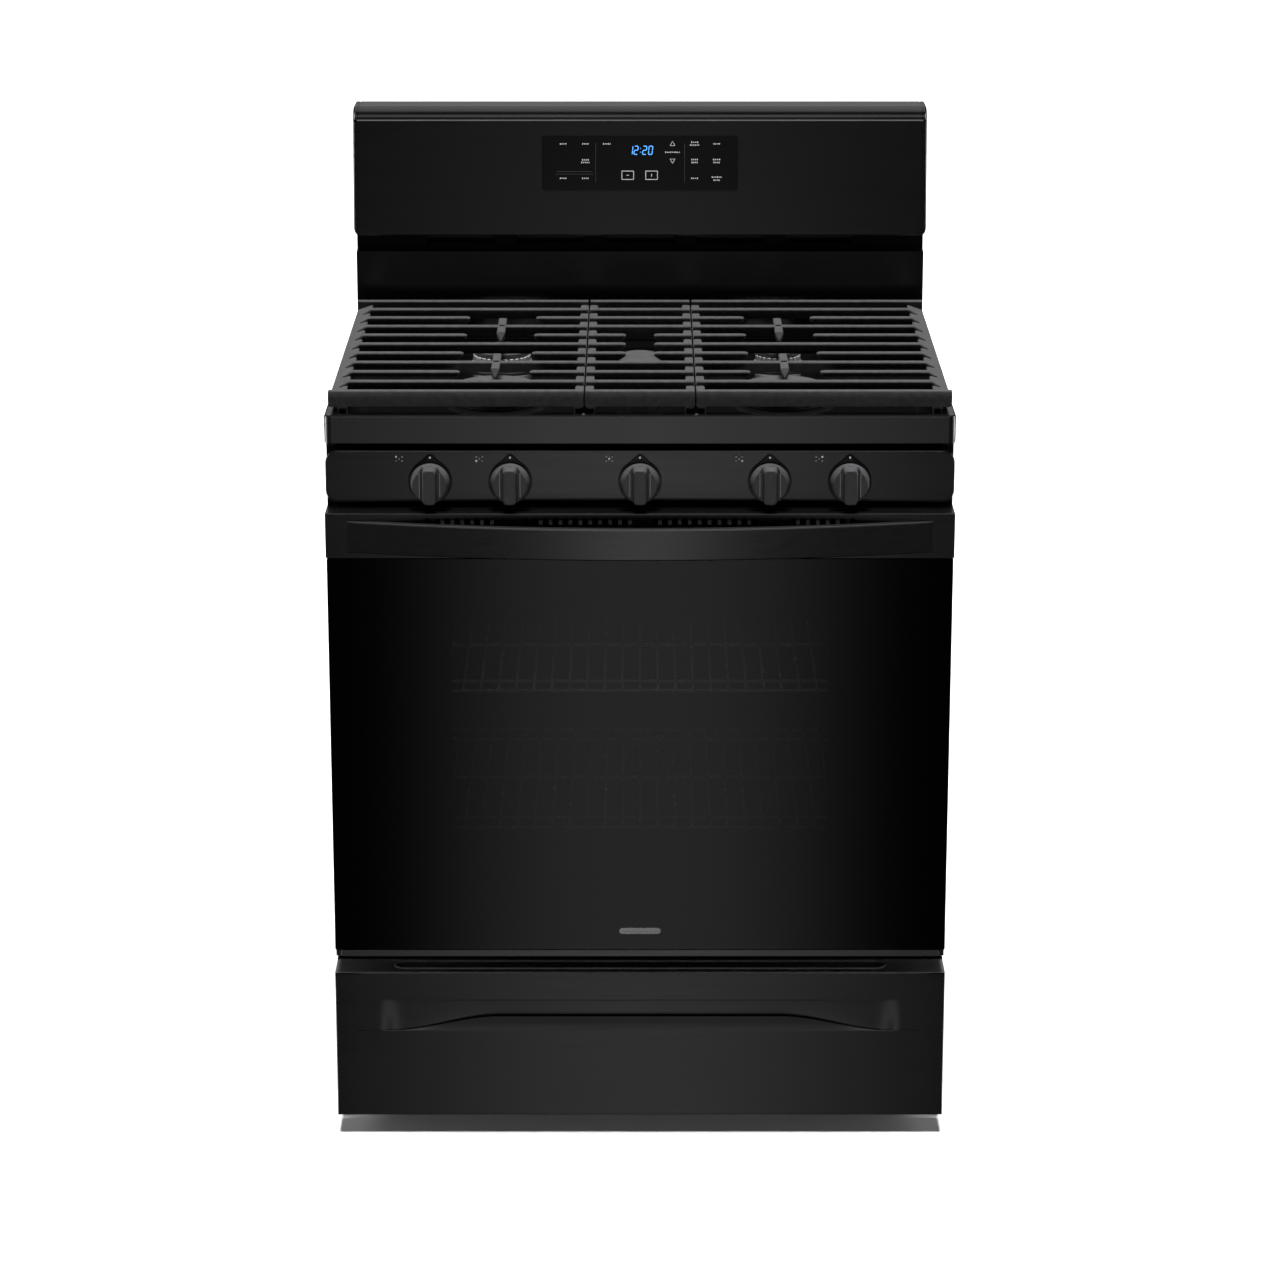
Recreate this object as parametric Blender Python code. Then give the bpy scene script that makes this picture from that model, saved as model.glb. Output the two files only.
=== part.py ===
"""Freestanding gas range, 30 inch class: five burners, an oven and a storage drawer.

Metres, +Z up. The range faces -Y and stands on the floor at Z = 0, with the origin under the middle
of its box. Every sub-part is one object. A moving piece hangs from an empty on its joint's axis.
"""
import math

import bmesh
import bpy
from mathutils import Matrix, Vector

# ---- Overall sizes ---------------------------------------------------------------------------
WIDTH = 0.7588                  # over the cooktop and the backguard
BODY_DEPTH = 0.660              # front of the cooktop to the back plane
DOOR_STEP = 0.030               # the door's and the drawer's fronts ahead of the cooktop's
HANDLE_REACH = 0.043            # the handle's front ahead of the door's
COOKTOP_HEIGHT = 0.914          # floor to the cooktop's rim
BACKGUARD_HEIGHT = 0.278        # rim to the backguard's top

CLEARANCE = 0.0003              # between pieces that touch
OVERLAP = 0.001                 # how far joined shapes reach into each other
THROUGH = 0.010                 # how far a cutter passes the face it opens
SHEET = 0.0012                  # pressed steel sheet

# ---- Heights, floor upwards ------------------------------------------------------------------
FRAME_BOTTOM = 0.020
FRAME_BAR = 0.012
DRAWER_BOTTOM = 0.0234
DRAWER_HEIGHT = 0.190
BOTTOM_TRIM = 0.0088            # strip of the door under its glass
TOP_TRIM = 0.0554               # vented cap of the door, which carries the handle
PANEL_HEIGHT = 0.0645           # knob panel
PANEL_GAP = 0.0061              # door's top to the knob panel
SKIRT_GAP = 0.0075              # knob panel to the cooktop's skirt
SKIRT_HEIGHT = 0.035
PAN_DEPTH = 0.026               # the cooktop's well below its rim
GRATE_RISE = 0.028              # the grates' top above the rim

# ---- Door and hinge --------------------------------------------------------------------------
DOOR_INSET = 0.0014             # door's and drawer's sides inside the cooktop's
DOOR_THICKNESS = 0.047
GLASS_THICKNESS = 0.004
LINER_THICKNESS = 0.0012
PLUG_THICKNESS = 0.0065         # raised panel on the door's inner face
PLUG_MARGIN = 0.022             # raised panel's edge inside the oven's mouth
PIVOT_INSET = 0.008             # hinge axis ahead of the door's back face
PIVOT_RISE = 0.0304             # hinge axis above the door's bottom edge
SWING_CLEARANCE = 0.0022
DOOR_TO_FRAME = 0.005
WINDOW_WIDTH = 0.491
WINDOW_BOTTOM = 0.135           # window opening above the door's bottom edge
WINDOW_HEIGHT = 0.314
WINDOW_LEDGE = 0.0105           # how far the liner covers the inner glass's edge
INNER_GLASS_SETBACK = 0.0005
HINGE_ARM = 0.012
HINGE_PLATE = 0.002             # thickness of the bracket's plate
HINGE_EDGE_DISTANCE = 0.0444    # hinge arm's middle to the cooktop's side
HINGE_NOSE = 0.0065
HINGE_PIN_RADIUS = 0.004
HINGE_PIN_REACH = 0.010
HINGE_SLOT = 0.0007             # play round the hinge arm and its pin
HINGE_BLOCK_WIDTH = 0.060       # solid corners of the door's frame round the hinges
HINGE_BLOCK_HEIGHT = 0.055
HINGE_PLATE_WIDTH = 0.028
HINGE_PLATE_DROP = 0.040
HINGE_SEAT = 0.005              # the bracket's lower end against the drawer's cross rail
HINGE_PLATE_RISE = 0.065
HANDLE_LENGTH = 0.702
HANDLE_HEIGHT = 0.039
HANDLE_RISE = 0.0073            # handle above the bottom of the door's cap
HANDLE_THICKNESS = 0.012
HANDLE_FOOT = 0.003             # the handle's thickness at its very ends
HANDLE_STEPS = 24
VENT_GROOVE_LENGTH = 0.520
VENT_GROOVE_HEIGHT = 0.0125
VENT_GROOVE_DEPTH = 0.0008
VENT_GROOVE_MARGIN = 0.0012     # groove above the slots
GLASS_INSET = 0.001             # glass inside the door's sides
CORE_INSET = 0.002              # frame and liner inside the door's sides
STRIP_INSET = 0.008             # bottom strip inside the door's sides
STRIP_SETBACK = 0.001           # bottom strip behind the glass's face
VENT_DROP = 0.0063              # top of the vent slots below the door's top
VENT_SLOT_WIDTH = 0.007
VENT_SLOT_HEIGHT = 0.010
VENT_PITCH = 0.0119
VENT_GROUPS = ((0.018, 11), (0.1835, 7))    # distance from the middle, slots to each side

# ---- Body ------------------------------------------------------------------------------------
SIDE_INSET = 0.001              # side panels inside the cooktop's width
SIDE_SHEET = 0.0016
SIDE_LIP = 0.014
REAR_RECESS = 0.006             # rear panel ahead of the back plane
FRAME_BAR_WIDTH = 0.030
INSULATION = 0.066              # beside the oven
REAR_INSULATION = 0.045
UNDER_INSULATION = 0.052
OVER_INSULATION = 0.035
SERVICE_SPACE = 0.0935          # behind the insulation
FLANGE_CLEARANCE = 0.004
GASKET_WIDTH = 0.010
GASKET_MARGIN = 0.0045
CAVITY_HEADROOM = 0.0659        # oven's ceiling below the door's top
LEG_INSET = 0.036
LEG_RADIUS = 0.016
LEG_FOOT = 0.008
STUD_RADIUS = 0.005
STUD_REACH = 0.010
REGULATOR_EDGE = 0.060
REGULATOR_SIZE = 0.046
REGULATOR_HEIGHT = 0.110
INLET_RADIUS = 0.010
INLET_HOLE_RADIUS = 0.030
INLET_SETBACK = 0.003
INLET_SIDE = 0.0322             # regulator's reach past the inlet, to its pipe's side
GLAND_EDGE = 0.080
GLAND_HEIGHT = 0.160
GLAND_RADIUS = 0.0100
GLAND_BORE = 0.0050
GLAND_FLANGE = 0.0150
GLAND_INNER_FLANGE = 0.0130
GLAND_FLANGE_EDGE = 0.001
GLAND_SETBACK = 0.002           # gland's face ahead of the back plane
GLAND_REACH = 0.006             # gland inside the rear panel
LOUVRE_WIDTH = 0.110
LOUVRE_HEIGHT = 0.007
LOUVRE_PITCH = 0.028
LOUVRE_ROWS = 4

# ---- Oven fittings ---------------------------------------------------------------------------
RACK_HEIGHTS = (0.0640, 0.2440)         # lower and upper rack above the oven's floor
RACK_GUIDE_HEIGHTS = (0.0640, 0.1240, 0.1840, 0.2440, 0.3040)
RACK_FRONT_SPACE = 0.063                # rack's front rod behind the oven's mouth
RACK_REAR_SPACE = 0.012
RACK_SIDE_SPACE = 0.004
RACK_ROD = 0.006
RACK_WIRE = 0.004
RACK_WIRE_PITCH = 0.044
GUIDE_REACH = 0.012
GUIDE_HEIGHT = 0.004
GUIDE_END_SPACE = 0.030
BURNER_TUBE_RADIUS = 0.007
BAKE_BURNER_HEIGHT = 0.010
FLOOR_PANEL_HEIGHT = 0.024
BROIL_BURNER_DROP = 0.022
OVEN_BURNER_HALF = 0.120
OVEN_BURNER_INSET = 0.060
OVEN_BURNER_BEND = 0.040
LAMP_RADIUS = 0.026
LAMP_LENGTH = 0.030
LAMP_SIDE = 0.200
LAMP_DROP = 0.075

# ---- Drawer ----------------------------------------------------------------------------------
DRAWER_SKIN = 0.0015
DRAWER_REAR_SPACE = 0.1555      # pan's back ahead of the rear panel
DRAWER_PAN_BOTTOM = 0.055
DRAWER_PAN_HEIGHT = 0.110
SLIDE_EDGE_DISTANCE = 0.0274    # drawer slide's outer edge to the cooktop's side
SLIDE_WIDTH = 0.022
SLIDE_HEIGHT = 0.014
SLIDE_BOTTOM = 0.120
SLIDE_PLAY = 0.0015
SLIDE_END_SPACE = 0.004
CHANNEL_LIP_GAP = 0.007         # channel's lips outside the pan
CHANNEL_OVERRUN = 0.0097        # channel behind the pan's back
CHANNEL_TIE_RISE = 0.004        # channel's tie above the slide's bottom
CROSSRAIL_CHEEK = 0.060
GRIP_LENGTH = 0.644
GRIP_BOTTOM = 0.1136            # grip recess above the drawer front's bottom edge
GRIP_HEIGHT = 0.041
GRIP_DEPTH = 0.012
GRIP_BACKING = 0.004
GRIP_MARGIN = 0.005             # backing past the recess
GRIP_FLAT = (-0.003, 0.004)     # flat bottom of the recess, round its middle
CROSSRAIL_BOTTOM = 0.175

# ---- Knob panel, valves and knobs ------------------------------------------------------------
PANEL_STEP = 0.002              # panel's face ahead of the cooktop's
PANEL_SHEET = 0.0025
PANEL_CORNER = 0.015
PANEL_SIDE_INSET = 0.0009
KNOB_X = (-0.2523, -0.156, 0.0, 0.156, 0.2523)
KNOB_RISE = 0.026               # knobs' middles above the panel's bottom edge
KNOB_RADIUS = 0.02425
KNOB_SKIRT = 0.009
KNOB_LENGTH = 0.027
KNOB_GAP = 0.0045
GRIP_BLADE_WIDTH = 0.019
GRIP_BLADE_RADIUS = 0.0225
STEM_RADIUS = 0.004
STEM_HOLE_RADIUS = 0.0055
STEM_TIP = 0.0200               # stem's tip ahead of the panel's face
MANIFOLD_SETBACK = 0.080
MANIFOLD_RADIUS = 0.010
MANIFOLD_END = 0.310
VALVE_WIDTH = 0.026
VALVE_HEIGHT = 0.028
VALVE_FRONT = 0.034             # valve's front face behind the panel's face
VALVE_BORE = 0.012
STEM_TAIL = 0.0075              # stem inside the valve
SUPPLY_RADIUS = 0.006
SUPPLY_BEND = 0.020
SUPPLY_EDGE_DISTANCE = 0.0344
SUPPLY_SETBACK = 0.0515

# ---- Cooktop, burners and grates -------------------------------------------------------------
RIM_WIDTH = 0.012
REAR_DECK_GAP = 0.003
BURNER_X = 0.178
OVAL_WIDTH = 0.054
OVAL_LENGTH = 0.190
CAP_HEIGHT = 0.011
BASE_HEIGHT = 0.016
BASE_FLANGE = 0.004
BASE_FLANGE_HEIGHT = 0.005
# name: side, bar of the grate above it, radius of the base, radius of the cap
ROUND_BURNERS = {
    "left_front": (-1, 3, 0.0460, 0.0520),
    "left_rear": (-1, 7, 0.0385, 0.0350),
    "right_front": (1, 3, 0.0460, 0.0520),
    "right_rear": (1, 7, 0.0305, 0.0280),
}
GRATE_FRONT = 0.009             # front of the grates behind the cooktop's front
GRATE_REAR_GAP = 0.053          # back of the grates ahead of the riser
GRATE_SIDE_INSET = 0.005
CENTRE_GRATE_WIDTH = 0.1335
GRATE_SPLIT = 0.002
BAR_WIDTH = 0.011
BAR_HEIGHT = 0.013
BAR_COUNT = 11
CENTRE_BAR = 5
FULL_SIDE_BARS = (0, 1, 3, 5, 7, 9, 10)
FULL_CENTRE_BARS = (0, 1, 2, 3, 7, 8, 9, 10)
FINGER_GAP = 0.043              # bar ends to the burner's middle, side grates
CENTRE_FINGER_GAP = 0.018
CROSS_PIECE = 0.094
INNER_RAIL_WIDTH = 0.0105
OUTER_RAIL_WIDTH = 0.0205
RAIL_DROP = 0.0055
RAIL_DEPTH = 0.020
RAIL_SLOPE = 0.006
GRATE_FOOT = 0.012

# ---- Backguard -------------------------------------------------------------------------------
RISER_SETBACK = 0.047           # riser's face ahead of the back plane
RISER_HEIGHT = 0.0825           # above the rim
THROAT_HEIGHT = 0.0285          # vent throat between riser and console
THROAT_SETBACK = 0.017
CONSOLE_OVERHANG = 0.041        # console's lower edge ahead of the riser
CONSOLE_FACE_HEIGHT = 0.150
CONSOLE_LEAN = 0.024            # top of the console's face behind its lower edge
CONSOLE_SHEET = 0.002
CONSOLE_REAR_CHAMFER = 0.006
COVER_INSET = 0.003             # rear cover inside the console's ends
COVER_DROP = 0.012              # rear cover below the console's top
CAP_RADIUS = 0.017
CAP_STEPS = 5
REAR_COVER_SHEET = 0.002
FLUE_SLOTS = 5
FLUE_SLOT_LENGTH = 0.090
FLUE_SLOT_HEIGHT = 0.012
FLUE_SLOT_PITCH = 0.120
OVERLAY_WIDTH = 0.260
OVERLAY_HEIGHT = 0.072
OVERLAY_RISE = 0.096            # overlay's middle up the console's face
OVERLAY_THICKNESS = 0.0008
OVERLAY_CORNER = 0.003

# ---- Planes and lines worked out from the sizes ----------------------------------------------
HALF = WIDTH / 2
BACK = (BODY_DEPTH + DOOR_STEP + HANDLE_REACH) / 2
COOKTOP_FRONT = BACK - BODY_DEPTH
DOOR_FRONT = COOKTOP_FRONT - DOOR_STEP
DOOR_BACK = DOOR_FRONT + DOOR_THICKNESS
PANEL_FRONT = COOKTOP_FRONT - PANEL_STEP
FRAME_FRONT = DOOR_BACK + DOOR_TO_FRAME
REAR_OUTER = BACK - REAR_RECESS
REAR_INNER = REAR_OUTER - SHEET

DRAWER_TOP = DRAWER_BOTTOM + DRAWER_HEIGHT
DRAWER_PAN_BACK = REAR_INNER - DRAWER_REAR_SPACE
# The door's lower front corner sweeps down past its bottom edge as the door opens.
DOOR_SWEEP = math.hypot(DOOR_THICKNESS - PIVOT_INSET, PIVOT_RISE)
DOOR_BOTTOM = DRAWER_TOP + DOOR_SWEEP - PIVOT_RISE + SWING_CLEARANCE
SKIRT_BOTTOM = COOKTOP_HEIGHT - SKIRT_HEIGHT
PANEL_TOP = SKIRT_BOTTOM - SKIRT_GAP
PANEL_BOTTOM = PANEL_TOP - PANEL_HEIGHT
DOOR_TOP = PANEL_BOTTOM - PANEL_GAP
TRIM_BOTTOM = DOOR_TOP - TOP_TRIM
PIVOT = Vector((0.0, DOOR_BACK - PIVOT_INSET, DOOR_BOTTOM + PIVOT_RISE))
# Body parts beside the door's bottom edge stay behind the sweep of its lower back corner.
RECESS_FRONT = PIVOT.y + math.hypot(PIVOT_INSET, PIVOT_RISE) + 2 * SWING_CLEARANCE
FLANGE_BOTTOM = PIVOT.z + PIVOT_INSET + FLANGE_CLEARANCE
HINGE_X = HALF - HINGE_EDGE_DISTANCE

SIDE_OUTER = HALF - SIDE_INSET
SIDE_INNER = SIDE_OUTER - SIDE_SHEET
CAVITY_HALF = SIDE_INNER - INSULATION - SHEET - 2 * CLEARANCE
CAVITY_BOTTOM = FLANGE_BOTTOM + GASKET_WIDTH + 2 * GASKET_MARGIN
CAVITY_TOP = DOOR_TOP - CAVITY_HEADROOM
INSULATION_BACK = REAR_INNER - SERVICE_SPACE
CAVITY_BACK = INSULATION_BACK - REAR_INSULATION - SHEET - CLEARANCE

PAN_TOP = COOKTOP_HEIGHT - PAN_DEPTH
GRATE_TOP = COOKTOP_HEIGHT + GRATE_RISE
RISER_FRONT = BACK - RISER_SETBACK
RISER_TOP = COOKTOP_HEIGHT + RISER_HEIGHT
CONSOLE_BOTTOM = RISER_TOP + THROAT_HEIGHT
CONSOLE_FRONT = RISER_FRONT - CONSOLE_OVERHANG
CONSOLE_TOP = COOKTOP_HEIGHT + BACKGUARD_HEIGHT
COVER_FRONT = BACK - REAR_COVER_SHEET
GRATE_HALF = HALF - GRATE_SIDE_INSET
GRATE_START = COOKTOP_FRONT + GRATE_FRONT
GRATE_END = RISER_FRONT - GRATE_REAR_GAP
KNOB_Z = PANEL_BOTTOM + KNOB_RISE
SLIDE_OUTER = HALF - SLIDE_EDGE_DISTANCE
PAN_HALF = SLIDE_OUTER - SLIDE_WIDTH

MERGE = 1e-5
SMOOTH_ANGLE = math.radians(40)

# ---- Finishes: base colour, roughness, metallic ----------------------------------------------
BLACK_STEEL = ((0.045, 0.045, 0.050), 0.35, 0.9)
BLACK_PAINT = ((0.020, 0.020, 0.022), 0.40, 0.0)
BLACK_ENAMEL = ((0.012, 0.012, 0.014), 0.20, 0.0)
BLACK_GLASS = ((0.008, 0.008, 0.010), 0.06, 0.0)
CAST_IRON = ((0.060, 0.060, 0.062), 0.60, 0.2)
GALVANISED = ((0.450, 0.460, 0.470), 0.45, 1.0)
CHROME = ((0.700, 0.700, 0.710), 0.20, 1.0)
ALUMINIUM = ((0.720, 0.720, 0.720), 0.35, 1.0)
MINERAL_WOOL = ((0.550, 0.480, 0.300), 0.95, 0.0)
FIBRE_SEAL = ((0.080, 0.080, 0.080), 0.90, 0.0)
BRASS = ((0.700, 0.520, 0.220), 0.35, 1.0)
NYLON = ((0.020, 0.020, 0.020), 0.55, 0.0)


# ---- Shape helpers ---------------------------------------------------------------------------
def shape(bm):
    """Turn a bmesh into a scene object with its faces pointing out."""
    bmesh.ops.recalc_face_normals(bm, faces=bm.faces)
    mesh = bpy.data.meshes.new("shape")
    bm.to_mesh(mesh)
    bm.free()
    obj = bpy.data.objects.new("shape", mesh)
    bpy.context.collection.objects.link(obj)
    return obj


def blocks(corners):
    """Boxes that don't touch each other, given as (lowest corner, highest corner)."""
    bm = bmesh.new()
    for low, high in corners:
        size = Vector(high) - Vector(low)
        middle = (Vector(high) + Vector(low)) / 2
        place = Matrix.Translation(middle) @ Matrix.Diagonal((*size, 1.0))
        bmesh.ops.create_cube(bm, size=1.0, matrix=place)
    return shape(bm)


def block(low, high):
    return blocks([(low, high)])


def centred(half, y_range, z_range):
    """Box that reaches half to each side of the middle plane."""
    return block((-half, y_range[0], z_range[0]), (half, y_range[1], z_range[1]))


AXIS_PLACES = {
    "X": lambda point, along: (along, point[0], point[1]),
    "Y": lambda point, along: (point[0], along, point[1]),
    "Z": lambda point, along: (point[0], point[1], along),
}


def prisms(outlines, axis, start, end):
    """Outlines in the plane across an axis, each extruded along it."""
    bm = bmesh.new()
    place = AXIS_PLACES[axis]
    for outline in outlines:
        rings = [[bm.verts.new(place(point, along)) for point in outline] for along in (start, end)]
        for ring in rings:
            bm.faces.new(ring)
        for index in range(len(outline)):
            bm.faces.new((rings[0][index - 1], rings[0][index], rings[1][index], rings[1][index - 1]))
    return shape(bm)


def prism(outline, axis, start, end):
    return prisms([outline], axis, start, end)


def circle(middle, radius, segments=24):
    steps = [2 * math.pi * index / segments for index in range(segments)]
    return [(middle[0] + radius * math.cos(turn), middle[1] + radius * math.sin(turn)) for turn in steps]


def rectangle(low, high):
    return [low, (high[0], low[1]), high, (low[0], high[1])]


def rounded_rectangle(low, high, radius, steps=4):
    """Rectangle with quarter circles for corners."""
    points = []
    centres = (
        (high[0] - radius, high[1] - radius), (low[0] + radius, high[1] - radius),
        (low[0] + radius, low[1] + radius), (high[0] - radius, low[1] + radius),
    )
    for corner, (x, y) in enumerate(centres):
        for step in range(steps + 1):
            turn = math.pi / 2 * (corner + step / steps)
            points.append((x + radius * math.cos(turn), y + radius * math.sin(turn)))
    return points


def inset(outline, distance):
    """A convex anticlockwise outline moved inwards."""
    points = []
    for index, point in enumerate(outline):
        before = (Vector(point) - Vector(outline[index - 1])).normalized()
        after = (Vector(outline[(index + 1) % len(outline)]) - Vector(point)).normalized()
        normal = Vector((-before.y, before.x)) + Vector((-after.y, after.x))
        points.append(tuple(Vector(point) + normal * (distance / (1 + before.dot(after)))))
    return points


def turned(profile, segments=32):
    """Profile of (radius, height) from axis to axis, turned about Z."""
    bm = bmesh.new()
    verts = [bm.verts.new((radius, 0.0, height)) for radius, height in profile]
    edges = [bm.edges.new(pair) for pair in zip(verts, verts[1:])]
    bmesh.ops.spin(bm, geom=verts + edges, cent=(0, 0, 0), axis=(0, 0, 1), angle=2 * math.pi,
                   steps=segments, use_merge=True)
    bmesh.ops.remove_doubles(bm, verts=bm.verts, dist=MERGE)
    return shape(bm)


def facing_front(obj, place):
    """Turn a piece made about Z so that its top faces the front, and move it."""
    obj.data.transform(Matrix.Translation(place) @ Matrix.Rotation(math.pi / 2, 4, "X"))
    return obj


def bent_path(corners, radius, steps=4):
    """Corner points joined by straight runs, with an arc at each inner corner."""
    path = [Vector(corners[0])]
    for before, corner, after in zip(corners, corners[1:], corners[2:]):
        corner = Vector(corner)
        inward = (Vector(before) - corner).normalized() * radius
        outward = (Vector(after) - corner).normalized() * radius
        centre = corner + inward + outward
        for step in range(steps + 1):
            turn = math.pi / 2 * step / steps
            path.append(centre - outward * math.cos(turn) - inward * math.sin(turn))
    path.append(Vector(corners[-1]))
    return path


def tube(path, radius, sides=10):
    """Round bar along a path, closed at both ends."""
    bm = bmesh.new()
    last = len(path) - 1
    tangents = [(path[min(i + 1, last)] - path[max(i - 1, 0)]).normalized() for i in range(last + 1)]
    side = tangents[0].orthogonal().normalized()
    rings = []
    for point, tangent in zip(path, tangents):
        side = (side - tangent * side.dot(tangent)).normalized()
        across = tangent.cross(side)
        turns = [2 * math.pi * index / sides for index in range(sides)]
        around = [side * math.cos(turn) + across * math.sin(turn) for turn in turns]
        rings.append([bm.verts.new(point + direction * radius) for direction in around])
    for first, second in zip(rings, rings[1:]):
        for index in range(sides):
            bm.faces.new((first[index - 1], first[index], second[index], second[index - 1]))
    bm.faces.new(rings[0])
    bm.faces.new(rings[-1])
    return shape(bm)


def combine(target, operand, operation):
    """One exact Boolean. The operand is used up."""
    modifier = target.modifiers.new("Boolean", "BOOLEAN")
    modifier.operation = operation
    modifier.solver = "EXACT"
    modifier.object = operand
    depsgraph = bpy.context.evaluated_depsgraph_get()
    mesh = bpy.data.meshes.new_from_object(target.evaluated_get(depsgraph))
    target.modifiers.clear()
    target.data = mesh
    bpy.data.objects.remove(operand)
    return target


def join(target, *operands):
    for operand in operands:
        combine(target, operand, "UNION")
    return target


def cut(target, *operands):
    for operand in operands:
        combine(target, operand, "DIFFERENCE")
    return target


def mirrored(obj):
    """A piece's copy on the other side of the middle plane."""
    copy = obj.copy()
    copy.data = obj.data.copy()
    copy.data.transform(Matrix.Scale(-1, 4, (1, 0, 0)))
    copy.data.flip_normals()
    bpy.context.collection.objects.link(copy)
    return copy


def principled(name, finish):
    colour, roughness, metallic = finish
    material = bpy.data.materials.new(name)
    material.use_nodes = True
    shader = material.node_tree.nodes["Principled BSDF"]
    shader.inputs["Base Color"].default_value = (*colour, 1.0)
    shader.inputs["Roughness"].default_value = roughness
    shader.inputs["Metallic"].default_value = metallic
    material.diffuse_color = (*colour, 1.0)
    return material


def part(name, obj, finish, pivot=None):
    """Name a finished shape and give it its material and, if it moves, its place on its pivot."""
    obj.name = name
    obj.data.name = name
    obj.data.materials.clear()
    obj.data.materials.append(principled(name, finish))
    obj.data.shade_smooth()
    obj.data.set_sharp_from_angle(angle=SMOOTH_ANGLE)
    if pivot:
        obj.data.transform(Matrix.Translation(-world_place(pivot)))
        obj.parent = pivot
    return obj


def world_place(empty):
    return empty.location + (world_place(empty.parent) if empty.parent else Vector())


def pivot_at(name, place, parent=None):
    """Empty on a joint's axis."""
    empty = bpy.data.objects.new(name, None)
    empty.location = Vector(place) - (world_place(parent) if parent else Vector())
    empty.parent = parent
    bpy.context.collection.objects.link(empty)
    return empty


# ---- Base, legs and casing -------------------------------------------------------------------
LEG_PLACES = {
    "left_front": (-1, FRAME_FRONT + LEG_INSET),
    "left_rear": (-1, REAR_INNER - LEG_INSET),
    "right_front": (1, FRAME_FRONT + LEG_INSET),
    "right_rear": (1, REAR_INNER - LEG_INSET),
}


def leg_centre(name):
    side, y = LEG_PLACES[name]
    return side * (SIDE_INNER - FRAME_BAR_WIDTH / 2), y


def base_frame():
    """Welded ring of bars that the casing stands on, bored for the legs' studs."""
    outer = SIDE_INNER - CLEARANCE
    front = FRAME_FRONT + SIDE_SHEET + 2 * CLEARANCE + OVERLAP
    back = REAR_INNER - CLEARANCE
    top = FRAME_BOTTOM + FRAME_BAR
    ring = centred(outer, (front, back), (FRAME_BOTTOM, top))
    cut(ring, centred(outer - FRAME_BAR_WIDTH, (front + FRAME_BAR_WIDTH, back - FRAME_BAR_WIDTH),
                      (FRAME_BOTTOM - THROUGH, top + THROUGH)))
    holes = [circle(leg_centre(name), STUD_RADIUS + CLEARANCE, 16) for name in LEG_PLACES]
    cut(ring, prisms(holes, "Z", FRAME_BOTTOM - THROUGH, FRAME_BOTTOM + STUD_REACH + OVERLAP))
    part("base_frame", ring, BLACK_PAINT)


def leveling_legs():
    """Screw-in feet: a pad and a threaded stud."""
    shoulder = FRAME_BOTTOM - CLEARANCE
    profile = [
        (0, 0), (LEG_RADIUS - 0.002, 0), (LEG_RADIUS, 0.002), (LEG_RADIUS, LEG_FOOT),
        (0.009, LEG_FOOT), (0.009, shoulder), (STUD_RADIUS, shoulder),
        (STUD_RADIUS, FRAME_BOTTOM + STUD_REACH), (0, FRAME_BOTTOM + STUD_REACH),
    ]
    for name in LEG_PLACES:
        leg = turned(profile, 14)
        leg.data.transform(Matrix.Translation((*leg_centre(name), 0.0)))
        part("leveling_leg_" + name, leg, NYLON)


def side_panels():
    """Side skins with a folded front lip, notched where the door's bottom edge swings in."""
    top = SKIRT_BOTTOM - CLEARANCE
    outline = [
        (FRAME_FRONT, FRAME_BOTTOM), (REAR_OUTER, FRAME_BOTTOM), (REAR_OUTER, top), (FRAME_FRONT, top),
        (FRAME_FRONT, FLANGE_BOTTOM), (RECESS_FRONT, FLANGE_BOTTOM), (RECESS_FRONT, DRAWER_TOP),
        (FRAME_FRONT, DRAWER_TOP),
    ]
    skin = prism(outline, "X", SIDE_INNER, SIDE_OUTER)
    lip_front = FRAME_FRONT + CLEARANCE
    lips = [
        ((SIDE_OUTER - SIDE_LIP, lip_front, low), (SIDE_INNER + OVERLAP, lip_front + SIDE_SHEET, high))
        for low, high in (
            (FRAME_BOTTOM + OVERLAP, DRAWER_TOP - OVERLAP),
            (FLANGE_BOTTOM + OVERLAP, top - OVERLAP),
        )
    ]
    join(skin, blocks(lips))
    part("side_panel_left", mirrored(skin), BLACK_PAINT)
    part("side_panel_right", skin, BLACK_PAINT)


def rear_panel():
    """Back skin with louvres, the gas inlet's opening and the cord gland's hole."""
    half = SIDE_INNER - CLEARANCE
    panel = centred(half, (REAR_INNER, REAR_OUTER), (FRAME_BOTTOM, SKIRT_BOTTOM - CLEARANCE))
    louvres = [
        rectangle((x - LOUVRE_WIDTH / 2, CAVITY_TOP + row * LOUVRE_PITCH),
                  (x + LOUVRE_WIDTH / 2, CAVITY_TOP + row * LOUVRE_PITCH + LOUVRE_HEIGHT))
        for row in range(LOUVRE_ROWS) for x in (-HALF / 2, 0.0, HALF / 2)
    ]
    holes = [
        circle((HALF - REGULATOR_EDGE, REGULATOR_HEIGHT), INLET_HOLE_RADIUS),
        circle((-HALF + GLAND_EDGE, GLAND_HEIGHT), GLAND_RADIUS + CLEARANCE),
    ]
    cut(panel, prisms(louvres + holes, "Y", REAR_INNER - THROUGH, REAR_OUTER + THROUGH))
    part("rear_panel", panel, GALVANISED)


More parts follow.
